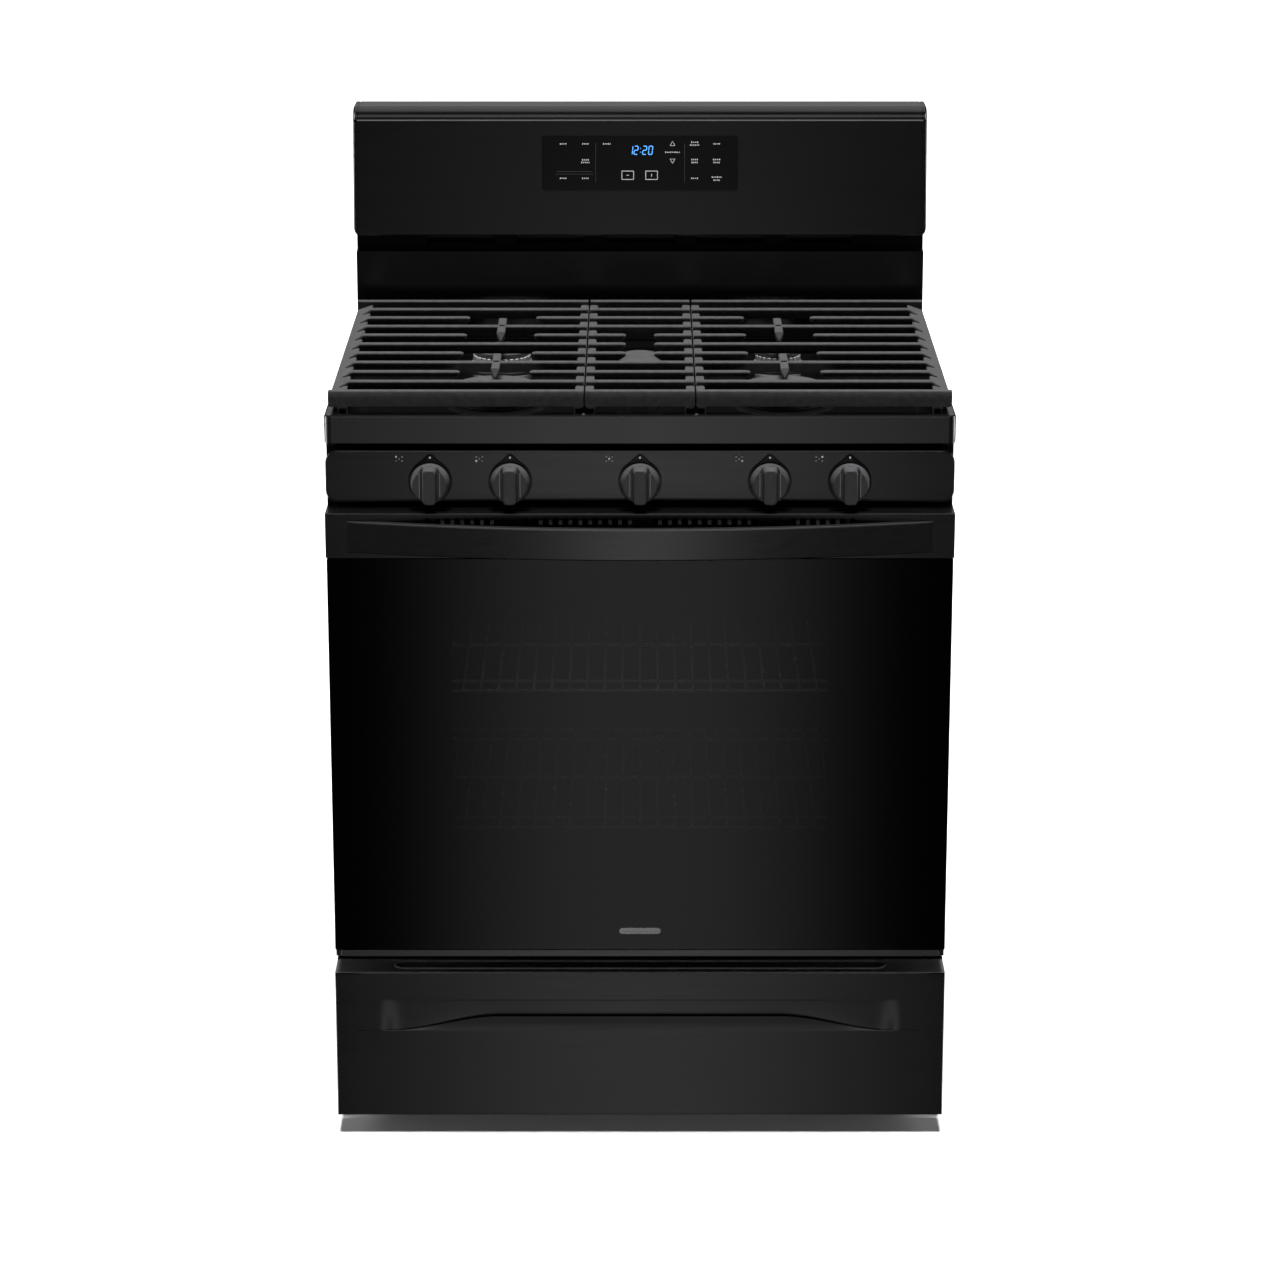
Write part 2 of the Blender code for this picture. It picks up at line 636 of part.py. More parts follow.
def cord_gland():
    """Bushing for the supply cord, clamped through the rear panel."""
    outside = REAR_RECESS - GLAND_SETBACK
    inside = -SHEET - GLAND_REACH
    profile = [
        (GLAND_BORE, inside), (GLAND_INNER_FLANGE, inside), (GLAND_INNER_FLANGE, -SHEET - CLEARANCE),
        (GLAND_RADIUS, -SHEET - CLEARANCE), (GLAND_RADIUS, CLEARANCE), (GLAND_FLANGE, CLEARANCE),
        (GLAND_FLANGE - GLAND_FLANGE_EDGE, outside), (GLAND_BORE, outside), (GLAND_BORE, inside),
    ]
    gland = turned(profile, 16)
    place = Matrix.Translation((-HALF + GLAND_EDGE, REAR_OUTER, GLAND_HEIGHT))
    gland.data.transform(place @ Matrix.Rotation(-math.pi / 2, 4, "X"))
    part("cord_gland", gland, NYLON)


# ---- Oven ------------------------------------------------------------------------------------
def oven_cavity():
    """Enamelled liner with its front flange and five pairs of rack guides."""
    box = centred(CAVITY_HALF + SHEET, (FRAME_FRONT + OVERLAP, CAVITY_BACK + SHEET),
                  (CAVITY_BOTTOM - SHEET, CAVITY_TOP + SHEET))
    flange_half = SIDE_OUTER - SIDE_LIP - CLEARANCE
    flange_top = PANEL_BOTTOM - PANEL_GAP
    join(box, centred(flange_half, (FRAME_FRONT, FRAME_FRONT + SHEET), (FLANGE_BOTTOM, flange_top)))
    cut(box, centred(CAVITY_HALF, (FRAME_FRONT - THROUGH, CAVITY_BACK), (CAVITY_BOTTOM, CAVITY_TOP)))
    guides = []
    for height in RACK_GUIDE_HEIGHTS:
        top = CAVITY_BOTTOM + height - CLEARANCE
        for side in (-1, 1):
            wall, edge = side * (CAVITY_HALF + OVERLAP), side * (CAVITY_HALF - GUIDE_REACH)
            guides.append((
                (min(wall, edge), FRAME_FRONT + GUIDE_END_SPACE, top - GUIDE_HEIGHT),
                (max(wall, edge), CAVITY_BACK - GUIDE_END_SPACE, top),
            ))
    join(box, blocks(guides))
    part("oven_cavity", box, BLACK_ENAMEL)


def oven_insulation():
    """Mineral wool jacket round the liner, open at the front."""
    wool = centred(SIDE_INNER - CLEARANCE, (RECESS_FRONT + HINGE_PLATE + CLEARANCE, INSULATION_BACK),
                   (CAVITY_BOTTOM - SHEET - UNDER_INSULATION, CAVITY_TOP + SHEET + OVER_INSULATION))
    gap = SHEET + CLEARANCE
    cut(wool, centred(CAVITY_HALF + gap, (RECESS_FRONT - THROUGH, CAVITY_BACK + gap),
                      (CAVITY_BOTTOM - gap, CAVITY_TOP + gap)))
    part("oven_insulation", wool, MINERAL_WOOL)


def oven_floor():
    """Lift-out floor over the bake burner, with its edges turned down."""
    half = CAVITY_HALF - 2 * CLEARANCE
    front, back = DOOR_BACK + PLUG_THICKNESS + 2 * CLEARANCE, CAVITY_BACK - 2 * CLEARANCE
    top = CAVITY_BOTTOM + FLOOR_PANEL_HEIGHT
    bottom = CAVITY_BOTTOM + CLEARANCE
    panel = centred(half, (front, back), (bottom, top))
    cut(panel, centred(half - SHEET, (front + SHEET, back - SHEET), (bottom - THROUGH, top - SHEET)))
    part("oven_floor", panel, BLACK_ENAMEL)


def oven_burner(name, height):
    """U-shaped burner tube, fed through the back wall."""
    back = CAVITY_BACK - 2 * SHEET - 2 * CLEARANCE
    front = FRAME_FRONT + OVEN_BURNER_INSET
    half = OVEN_BURNER_HALF
    corners = [(-half, back, height), (-half, front, height), (half, front, height), (half, back, height)]
    part(name, tube(bent_path(corners, OVEN_BURNER_BEND), BURNER_TUBE_RADIUS), ALUMINIUM)


def oven_lamp():
    """Lamp glass on the back wall."""
    profile = [
        (0, CLEARANCE), (LAMP_RADIUS, CLEARANCE), (LAMP_RADIUS, 0.008), (0.020, 0.008),
        (0.019, LAMP_LENGTH * 0.7), (0.012, LAMP_LENGTH * 0.95), (0, LAMP_LENGTH),
    ]
    lamp = facing_front(turned(profile, 14), (-LAMP_SIDE, CAVITY_BACK, CAVITY_TOP - LAMP_DROP))
    part("oven_lamp", lamp, CHROME)


def door_gasket():
    """Woven seal round the oven's mouth."""
    margin = GASKET_MARGIN + GASKET_WIDTH
    span = (DOOR_BACK + 2 * CLEARANCE, FRAME_FRONT - CLEARANCE)
    outer = rounded_rectangle((-CAVITY_HALF - margin, CAVITY_BOTTOM - margin),
                              (CAVITY_HALF + margin, CAVITY_TOP + margin), 0.020)
    inner = rounded_rectangle((-CAVITY_HALF - GASKET_MARGIN, CAVITY_BOTTOM - GASKET_MARGIN),
                              (CAVITY_HALF + GASKET_MARGIN, CAVITY_TOP + GASKET_MARGIN), 0.012)
    ring = prism(outer, "Y", *span)
    cut(ring, prism(inner, "Y", span[0] - THROUGH, span[1] + THROUGH))
    part("door_gasket", ring, FIBRE_SEAL)


def oven_rack(name, height, pivot):
    """Chromed wire rack: three cross rods, two side rods and the wires between."""
    z = CAVITY_BOTTOM + height + RACK_ROD / 2
    half = CAVITY_HALF - RACK_SIDE_SPACE
    front, back = FRAME_FRONT + RACK_FRONT_SPACE, CAVITY_BACK - RACK_REAR_SPACE
    rod, wire = RACK_ROD / 2, RACK_WIRE / 2
    cross = [
        ((-half + OVERLAP, y - rod, z - rod + CLEARANCE), (half - OVERLAP, y + rod, z + rod - CLEARANCE))
        for y in (front + rod, (front + back) / 2, back - rod)
    ]
    rack = blocks(cross)
    runs = [
        ((side - rod, front + OVERLAP, z - rod), (side + rod, back - OVERLAP, z + rod))
        for side in (-half + rod, half - rod)
    ]
    count = int((half - RACK_ROD - RACK_WIRE) / RACK_WIRE_PITCH)
    for index in range(-count, count + 1):
        x = index * RACK_WIRE_PITCH
        runs.append(((x - wire, front + OVERLAP, z + OVERLAP),
                     (x + wire, back - OVERLAP, z + OVERLAP + RACK_WIRE)))
    join(rack, blocks(runs))
    part(name, rack, CHROME, pivot)


# ---- Door ------------------------------------------------------------------------------------
def door_hinge():
    """Hinge bracket on the oven's frame, with its pin on the door's axis."""
    nose = [
        (PIVOT.y - HINGE_NOSE * math.sin(turn), PIVOT.z + HINGE_NOSE * math.cos(turn))
        for turn in (math.pi * step / 8 for step in range(9))
    ]
    back = RECESS_FRONT + HINGE_PLATE
    outline = nose + [(back - OVERLAP, PIVOT.z - HINGE_NOSE), (back - OVERLAP, PIVOT.z + HINGE_NOSE)]
    arm_half = HINGE_ARM / 2
    hinge = prism(outline, "X", HINGE_X - arm_half, HINGE_X + arm_half)
    plate_half = HINGE_PLATE_WIDTH / 2
    join(hinge, block((HINGE_X - plate_half, RECESS_FRONT, PIVOT.z - HINGE_PLATE_DROP),
                      (HINGE_X + plate_half, back, PIVOT.z + HINGE_PLATE_RISE)))
    reach = arm_half + HINGE_PIN_REACH
    pin = circle((PIVOT.y, PIVOT.z), HINGE_PIN_RADIUS, 16)
    join(hinge, prism(pin, "X", HINGE_X - reach, HINGE_X + reach))
    part("door_hinge_left", mirrored(hinge), GALVANISED)
    part("door_hinge_right", hinge, GALVANISED)


def hinge_pockets():
    """Cutter for the slots in the door's lower back edge that the hinge arms swing in."""
    half = HINGE_ARM / 2 + HINGE_SLOT
    play = HINGE_NOSE + HINGE_SLOT
    return blocks([
        ((side * HINGE_X - half, PIVOT.y - play, DOOR_BOTTOM - THROUGH),
         (side * HINGE_X + half, DOOR_BACK + THROUGH, PIVOT.z + play))
        for side in (-1, 1)
    ])


def hinge_bores():
    """Cutter for the bores that the hinge pins sit in."""
    reach = HINGE_ARM / 2 + HINGE_PIN_REACH + HINGE_SLOT
    outline = circle((PIVOT.y, PIVOT.z), HINGE_PIN_RADIUS + CLEARANCE, 16)
    left = prism(outline, "X", -HINGE_X - reach, -HINGE_X + reach)
    right = prism(outline, "X", HINGE_X - reach, HINGE_X + reach)
    return left, right


def door(pivot):
    half = HALF - DOOR_INSET
    window_half = WINDOW_WIDTH / 2
    window_low = DOOR_BOTTOM + WINDOW_BOTTOM
    window_high = window_low + WINDOW_HEIGHT
    liner_front = DOOR_BACK - LINER_THICKNESS
    core_back = liner_front - CLEARANCE
    core_front = DOOR_FRONT + GLASS_THICKNESS + CLEARANCE
    core_top = TRIM_BOTTOM - CLEARANCE
    glass_bottom = DOOR_BOTTOM + BOTTOM_TRIM

    glass = centred(half - GLASS_INSET, (DOOR_FRONT, DOOR_FRONT + GLASS_THICKNESS),
                    (glass_bottom, core_top))
    part("door_outer_glass", glass, BLACK_GLASS, pivot)

    core = centred(half - CORE_INSET, (core_front, core_back), (DOOR_BOTTOM, core_top))
    join(core, centred(half - STRIP_INSET, (DOOR_FRONT + STRIP_SETBACK, core_front + OVERLAP),
                       (DOOR_BOTTOM + CLEARANCE, glass_bottom - CLEARANCE)))
    surround = centred(window_half + SHEET, (core_front - 2 * THROUGH, core_back),
                       (window_low - SHEET, window_high + SHEET))
    hollow = (core_front - THROUGH, core_back - SHEET)
    block_top = DOOR_BOTTOM + HINGE_BLOCK_HEIGHT
    ring = cut(centred(half - CORE_INSET - SHEET, hollow, (block_top, core_top - SHEET)), surround)
    cut(core, ring)
    cut(core, centred(HINGE_X - HINGE_BLOCK_WIDTH / 2, hollow, (glass_bottom + SHEET, block_top + OVERLAP)))
    cut(core, centred(window_half, (core_front - THROUGH, core_back + THROUGH), (window_low, window_high)))
    cut(core, hinge_pockets(), *hinge_bores())
    part("door_frame", core, BLACK_STEEL, pivot)

    inner_back = core_back - INNER_GLASS_SETBACK
    inner = centred(window_half - CLEARANCE, (inner_back - GLASS_THICKNESS, inner_back),
                    (window_low + CLEARANCE, window_high - CLEARANCE))
    part("door_inner_glass", inner, BLACK_GLASS, pivot)

    liner = centred(half - CORE_INSET, (liner_front, DOOR_BACK), (DOOR_BOTTOM, DOOR_TOP - CLEARANCE))
    plug_back = DOOR_BACK + PLUG_THICKNESS
    join(liner, centred(CAVITY_HALF - PLUG_MARGIN, (DOOR_BACK - OVERLAP, plug_back),
                        (CAVITY_BOTTOM + PLUG_MARGIN, CAVITY_TOP - PLUG_MARGIN)))
    cut(liner, centred(window_half - WINDOW_LEDGE, (liner_front - THROUGH, plug_back + THROUGH),
                       (window_low + WINDOW_LEDGE, window_high - WINDOW_LEDGE)))
    cut(liner, hinge_pockets())
    part("door_liner", liner, BLACK_ENAMEL, pivot)

    door_cap(half, core_back, pivot)
    door_handle(pivot)


def door_cap(half, back, pivot):
    """Vented cap on the door's top, folded from sheet and open below."""
    cap = centred(half, (DOOR_FRONT, back), (TRIM_BOTTOM, DOOR_TOP))
    cut(cap, centred(half - PANEL_SHEET, (DOOR_FRONT + PANEL_SHEET, back - PANEL_SHEET),
                     (TRIM_BOTTOM - THROUGH, DOOR_TOP - PANEL_SHEET)))
    vent_top = DOOR_TOP - VENT_DROP
    groove_top = vent_top + VENT_GROOVE_MARGIN
    groove = rounded_rectangle((-VENT_GROOVE_LENGTH / 2, groove_top - VENT_GROOVE_HEIGHT),
                               (VENT_GROOVE_LENGTH / 2, groove_top), VENT_GROOVE_HEIGHT * 0.49)
    cut(cap, prism(groove, "Y", DOOR_FRONT - THROUGH, DOOR_FRONT + VENT_GROOVE_DEPTH))
    slots = []
    for start, count in VENT_GROUPS:
        for index in range(count):
            for side in (-1, 1):
                x = side * (start + index * VENT_PITCH)
                slots.append(rectangle((x - VENT_SLOT_WIDTH / 2, vent_top - VENT_SLOT_HEIGHT),
                                       (x + VENT_SLOT_WIDTH / 2, vent_top)))
    cut(cap, prisms(slots, "Y", DOOR_FRONT - THROUGH, DOOR_FRONT + 2 * PANEL_SHEET))
    part("door_top_trim", cap, BLACK_STEEL, pivot)


def door_handle(pivot):
    """Bowed bar whose ends run out flat on the door's cap."""
    seat = DOOR_FRONT - CLEARANCE
    apex = DOOR_FRONT - HANDLE_REACH
    half = HANDLE_LENGTH / 2
    bow = seat - HANDLE_FOOT - apex
    radius = (half ** 2 + bow ** 2) / (2 * bow)
    inner_radius = radius - HANDLE_THICKNESS
    centre = apex + radius
    reach = math.sqrt(inner_radius ** 2 - (centre - seat) ** 2)

    def arc(arc_radius, end):
        limit = math.asin(end / arc_radius)
        turns = [limit * (2 * step / HANDLE_STEPS - 1) for step in range(HANDLE_STEPS + 1)]
        return [(arc_radius * math.sin(turn), centre - arc_radius * math.cos(turn)) for turn in turns]

    outline = arc(radius, half) + [(half, seat)] + arc(inner_radius, reach)[::-1] + [(-half, seat)]
    bottom = TRIM_BOTTOM + HANDLE_RISE
    part("door_handle", prism(outline, "Z", bottom, bottom + HANDLE_HEIGHT), BLACK_STEEL, pivot)


# ---- Storage drawer --------------------------------------------------------------------------
def drawer(pivot):
    half = HALF - DOOR_INSET
    front = centred(half, (DOOR_FRONT, DOOR_BACK), (DRAWER_BOTTOM, DRAWER_TOP))
    skin = DOOR_FRONT + DRAWER_SKIN
    cut(front, centred(half - DRAWER_SKIN, (skin, DOOR_BACK + THROUGH),
                       (DRAWER_BOTTOM + DRAWER_SKIN, DRAWER_TOP - DRAWER_SKIN)))
    grip_low = DRAWER_BOTTOM + GRIP_BOTTOM
    grip_high = grip_low + GRIP_HEIGHT
    grip_half = GRIP_LENGTH / 2
    backing = (skin - OVERLAP, DOOR_FRONT + GRIP_DEPTH + GRIP_BACKING)
    join(front, centred(grip_half + GRIP_MARGIN, backing, (grip_low - GRIP_MARGIN, grip_high + GRIP_MARGIN)))
    middle = grip_low + GRIP_HEIGHT / 2
    scoop = [
        (DOOR_FRONT - OVERLAP, grip_low), (DOOR_FRONT, grip_low),
        (DOOR_FRONT + GRIP_DEPTH, middle + GRIP_FLAT[0]), (DOOR_FRONT + GRIP_DEPTH, middle + GRIP_FLAT[1]),
        (DOOR_FRONT, grip_high), (DOOR_FRONT - OVERLAP, grip_high),
    ]
    cut(front, prism(scoop, "X", -grip_half, grip_half))
    part("drawer_front", front, BLACK_STEEL, pivot)

    pan_front = DOOR_BACK + CLEARANCE
    pan_back = DRAWER_PAN_BACK
    top = DRAWER_PAN_BOTTOM + DRAWER_PAN_HEIGHT
    pan = centred(PAN_HALF, (pan_front, pan_back), (DRAWER_PAN_BOTTOM, top))
    cut(pan, centred(PAN_HALF - SHEET, (pan_front + SHEET, pan_back - SHEET),
                     (DRAWER_PAN_BOTTOM + SHEET, top + THROUGH)))
    slide_front, slide_back = pan_front + SLIDE_END_SPACE, pan_back - SLIDE_END_SPACE
    slides = [
        ((min(inner, outer), slide_front, SLIDE_BOTTOM),
         (max(inner, outer), slide_back, SLIDE_BOTTOM + SLIDE_HEIGHT))
        for inner, outer in ((PAN_HALF - OVERLAP, SLIDE_OUTER), (-PAN_HALF + OVERLAP, -SLIDE_OUTER))
    ]
    join(pan, blocks(slides))
    part("drawer_pan", pan, GALVANISED, pivot)


def drawer_rail_frame():
    """Two channels that the drawer's slides run in, tied by a cross rail above the drawer."""
    play = SLIDE_PLAY
    web_in = SLIDE_OUTER + play
    web_out = web_in + SHEET
    lip_in = PAN_HALF + CHANNEL_LIP_GAP
    low, high = SLIDE_BOTTOM - play - SHEET, SLIDE_BOTTOM + SLIDE_HEIGHT + play + SHEET
    channel = [
        (lip_in, low), (web_out, low), (web_out, high), (lip_in, high),
        (lip_in, high - SHEET), (web_in, high - SHEET), (web_in, low + SHEET), (lip_in, low + SHEET),
    ]
    other = [(-x, z) for x, z in channel]
    rail_back = DRAWER_PAN_BACK + CHANNEL_OVERRUN
    rails = prisms([channel, other], "Y", RECESS_FRONT, rail_back)
    web_top = PIVOT.z - HINGE_PLATE_DROP + HINGE_SEAT
    tie_bottom = SLIDE_BOTTOM + CHANNEL_TIE_RISE
    ties = []
    for side in (-1, 1):
        x_out, x_wall, x_in = side * (web_out - OVERLAP), side * (SIDE_INNER - CLEARANCE), side * web_in
        ties.append(((min(x_out, x_wall), RECESS_FRONT + OVERLAP, tie_bottom),
                     (max(x_out, x_wall), rail_back - OVERLAP, tie_bottom + SHEET)))
        ties.append(((min(x_in, side * (web_out - CLEARANCE)), RECESS_FRONT + OVERLAP, high - OVERLAP),
                     (max(x_in, side * (web_out - CLEARANCE)), RECESS_FRONT + CROSSRAIL_CHEEK, web_top)))
    join(rails, blocks(ties))
    join(rails, centred(web_in + OVERLAP, (RECESS_FRONT + 2 * OVERLAP, RECESS_FRONT + 2 * OVERLAP + SHEET),
                        (CROSSRAIL_BOTTOM, web_top - OVERLAP)))
    part("drawer_rail_frame", rails, GALVANISED)


# ---- Knob panel and gas train ----------------------------------------------------------------
KNOB_NAMES = ("left_rear", "left_front", "centre", "right_front", "right_rear")


def manifold_panel():
    """Dished front panel with a hole for each valve stem."""
    half = HALF - PANEL_SIDE_INSET
    outline = rounded_rectangle((-half, PANEL_BOTTOM), (half, PANEL_TOP), PANEL_CORNER)
    panel = prism(outline, "Y", PANEL_FRONT, FRAME_FRONT - CLEARANCE)
    cut(panel, prism(inset(outline, PANEL_SHEET), "Y", PANEL_FRONT + PANEL_SHEET, FRAME_FRONT + THROUGH))
    holes = [circle((x, KNOB_Z), STEM_HOLE_RADIUS, 16) for x in KNOB_X]
    cut(panel, prisms(holes, "Y", PANEL_FRONT - THROUGH, PANEL_FRONT + PANEL_SHEET + THROUGH))
    part("manifold_panel", panel, BLACK_STEEL)


def gas_manifold():
    """Pipe with five valves, each bored for its stem."""
    y = PANEL_FRONT + MANIFOLD_SETBACK
    valve_front = PANEL_FRONT + VALVE_FRONT
    pipe = prism(circle((y, KNOB_Z), MANIFOLD_RADIUS, 16), "X", -MANIFOLD_END, MANIFOLD_END)
    bodies = [
        ((x - VALVE_WIDTH / 2, valve_front, KNOB_Z - VALVE_HEIGHT / 2),
         (x + VALVE_WIDTH / 2, y + OVERLAP, KNOB_Z + VALVE_HEIGHT / 2))
        for x in KNOB_X
    ]
    join(pipe, blocks(bodies))
    bores = [circle((x, KNOB_Z), STEM_RADIUS + CLEARANCE, 16) for x in KNOB_X]
    cut(pipe, prisms(bores, "Y", valve_front - THROUGH, valve_front + VALVE_BORE))
    part("gas_manifold", pipe, ALUMINIUM)


def gas_supply():
    """Pressure regulator behind the inlet opening, and the pipe from it to the manifold."""
    x = HALF - SUPPLY_EDGE_DISTANCE
    y = REAR_INNER - SUPPLY_SETBACK
    front = PANEL_FRONT + MANIFOLD_SETBACK
    corners = [
        (x, y, REGULATOR_HEIGHT), (x, y, KNOB_Z), (x, front, KNOB_Z),
        (MANIFOLD_END + CLEARANCE, front, KNOB_Z),
    ]
    supply = tube(bent_path(corners, SUPPLY_BEND), SUPPLY_RADIUS)
    body_x = HALF - REGULATOR_EDGE
    half = REGULATOR_SIZE / 2
    join(supply, block((body_x - half, y - half, REGULATOR_HEIGHT - half),
                       (body_x + INLET_SIDE, y + half, REGULATOR_HEIGHT + half)))
    inlet = circle((body_x, REGULATOR_HEIGHT), INLET_RADIUS, 16)
    join(supply, prism(inlet, "Y", y, REAR_INNER - INLET_SETBACK))
    part("gas_supply", supply, BRASS)


def knob_and_stem(name, x):
    """Valve stem that pushes in, and the knob that turns on it."""
    axis = Vector((x, PANEL_FRONT, KNOB_Z))
    push = pivot_at("push_" + name, axis)
    turn = pivot_at("turn_" + name, axis, push)
    rear = -VALVE_FRONT - STEM_TAIL
    profile = [
        (0, rear), (STEM_RADIUS, rear), (STEM_RADIUS, STEM_TIP - 0.001),
        (STEM_RADIUS - 0.001, STEM_TIP), (0, STEM_TIP),
    ]
    part("valve_stem_" + name, facing_front(turned(profile, 12), axis), ALUMINIUM, push)

    back, skirt_front, front = KNOB_GAP, KNOB_GAP + KNOB_SKIRT, KNOB_GAP + KNOB_LENGTH
    skirt = [
        (0, back), (KNOB_RADIUS - 0.001, back), (KNOB_RADIUS, back + 0.001),
        (KNOB_RADIUS - 0.0005, skirt_front - 0.002), (KNOB_RADIUS - 0.0025, skirt_front), (0, skirt_front),
    ]
    knob = facing_front(turned(skirt, 30), axis)
    half = GRIP_BLADE_WIDTH / 2
    limit = math.asin(half / GRIP_BLADE_RADIUS)
    ends = [limit * (2 * step / 4 - 1) for step in range(5)]
    blade = [(x + GRIP_BLADE_RADIUS * math.sin(t), KNOB_Z + GRIP_BLADE_RADIUS * math.cos(t)) for t in ends]
    blade += [(2 * x - px, 2 * KNOB_Z - pz) for px, pz in blade]
    join(knob, prism(blade, "Y", PANEL_FRONT - front, PANEL_FRONT - skirt_front + OVERLAP))
    bore = circle((x, KNOB_Z), STEM_RADIUS + CLEARANCE, 16)
    cut(knob, prism(bore, "Y", PANEL_FRONT - STEM_TIP - 2 * CLEARANCE, PANEL_FRONT))
    part("knob_" + name, knob, BLACK_STEEL, turn)


# ---- Cooktop ---------------------------------------------------------------------------------
def cooktop():
    """Enamelled top pressed from sheet: skirt, rim and sunken well."""
    back = REAR_OUTER
    top = centred(HALF, (COOKTOP_FRONT, back), (SKIRT_BOTTOM, COOKTOP_HEIGHT))
    cut(top, centred(HALF - SHEET, (COOKTOP_FRONT + SHEET, back - SHEET),
                     (SKIRT_BOTTOM - THROUGH, COOKTOP_HEIGHT - SHEET)))
    well_half = HALF - RIM_WIDTH
    well_front, well_back = COOKTOP_FRONT + RIM_WIDTH, RISER_FRONT - REAR_DECK_GAP
    join(top, centred(well_half + SHEET, (well_front - SHEET, well_back + SHEET),
                      (PAN_TOP - SHEET, COOKTOP_HEIGHT - OVERLAP)))
    cut(top, centred(well_half, (well_front, well_back), (PAN_TOP, COOKTOP_HEIGHT + THROUGH)))
    part("cooktop", top, BLACK_ENAMEL)


def bar_y(index):
    """Middle of a grate bar, counted from the front."""
    first = GRATE_START + BAR_WIDTH / 2
    last = GRATE_END - BAR_WIDTH / 2
    return first + (last - first) * index / (BAR_COUNT - 1)


def round_burner(name, side, bar, base_radius, cap_radius):
    place = Vector((side * BURNER_X, bar_y(bar), PAN_TOP + CLEARANCE))
    flange = base_radius + BASE_FLANGE
    base = [
        (0, 0), (flange, 0), (flange, BASE_FLANGE_HEIGHT - 0.002), (base_radius, BASE_FLANGE_HEIGHT),
        (base_radius, BASE_HEIGHT), (0, BASE_HEIGHT),
    ]
    body = turned(base, 28)
    body.data.transform(Matrix.Translation(place))
    part("burner_base_" + name, body, ALUMINIUM)

    lift = place + Vector((0, 0, BASE_HEIGHT + CLEARANCE))
    pivot = pivot_at("lift_cap_" + name, lift)
    cap = [
        (0, 0), (cap_radius - 0.002, 0), (cap_radius, 0.003), (cap_radius - 0.001, CAP_HEIGHT - 0.0045),
        (cap_radius - 0.005, CAP_HEIGHT - 0.0012), (0, CAP_HEIGHT),
    ]
    lid = turned(cap, 28)
    lid.data.transform(Matrix.Translation(lift))
    part("burner_cap_" + name, lid, CAST_IRON, pivot)


def oval_burner():
    y, z = bar_y(CENTRE_BAR), PAN_TOP + CLEARANCE
    half, reach = OVAL_WIDTH / 2, OVAL_LENGTH / 2

    def stadium(shrink):
        edge = half - shrink
        return rounded_rectangle((-edge, y - reach + shrink), (edge, y + reach - shrink), edge * 0.999, 8)

    base = prism(stadium(0.002), "Z", z, z + BASE_FLANGE_HEIGHT)
    join(base, prism(stadium(0.005), "Z", z + BASE_FLANGE_HEIGHT - OVERLAP, z + BASE_HEIGHT))
    part("burner_base_centre", base, ALUMINIUM)

    bottom = z + BASE_HEIGHT + CLEARANCE
    pivot = pivot_at("lift_cap_centre", (0.0, y, bottom))
    cap = prism(stadium(0.0), "Z", bottom, bottom + CAP_HEIGHT - 0.003)
    shoulder = bottom + CAP_HEIGHT - 0.003
    join(cap, prism(stadium(0.0025), "Z", shoulder - OVERLAP, bottom + CAP_HEIGHT - 0.001))
    part("burner_cap_centre", cap, CAST_IRON, pivot)


def grate_bars(spans, full, gap_middle, gap):
    """Cross bars between two lines, split round the burner where they aren't full."""
    low, high = spans
    bars = []
    for index in range(BAR_COUNT):
        y = bar_y(index)
        height = RAIL_DEPTH if index in (0, BAR_COUNT - 1) else BAR_HEIGHT
        z = (GRATE_TOP - height, GRATE_TOP)
        pieces = [(low, high)] if index in full else [(low, gap_middle - gap), (gap_middle + gap, high)]
        for start, end in pieces:
            bars.append(((start, y - BAR_WIDTH / 2, z[0]), (end, y + BAR_WIDTH / 2, z[1])))
    return blocks(bars)


def grate_feet(xs):
    """Feet that stand on the cooktop's well, under the rails."""
    feet = []
    bottom = PAN_TOP + CLEARANCE
    top = GRATE_TOP - RAIL_DEPTH + OVERLAP
    for x in xs:
        for y in (GRATE_START + RIM_WIDTH + GRATE_FOOT, GRATE_END - 2 * GRATE_FOOT):
            feet.append(((x - GRATE_FOOT / 2, y - GRATE_FOOT / 2, bottom),
                         (x + GRATE_FOOT / 2, y + GRATE_FOOT / 2, top)))
    return blocks(feet)


def rail(low, high, slope_low=0.0, slope_high=0.0):
    """Side rail along Y; its top may fall away towards either edge."""
    top, bottom = GRATE_TOP - RAIL_DROP, GRATE_TOP - RAIL_DEPTH
    outline = [
        (low, bottom + CLEARANCE), (high, bottom + CLEARANCE),
        (high, top - slope_high), (low, top - slope_low),
    ]
    return prism(outline, "Y", GRATE_START + OVERLAP, GRATE_END - OVERLAP)


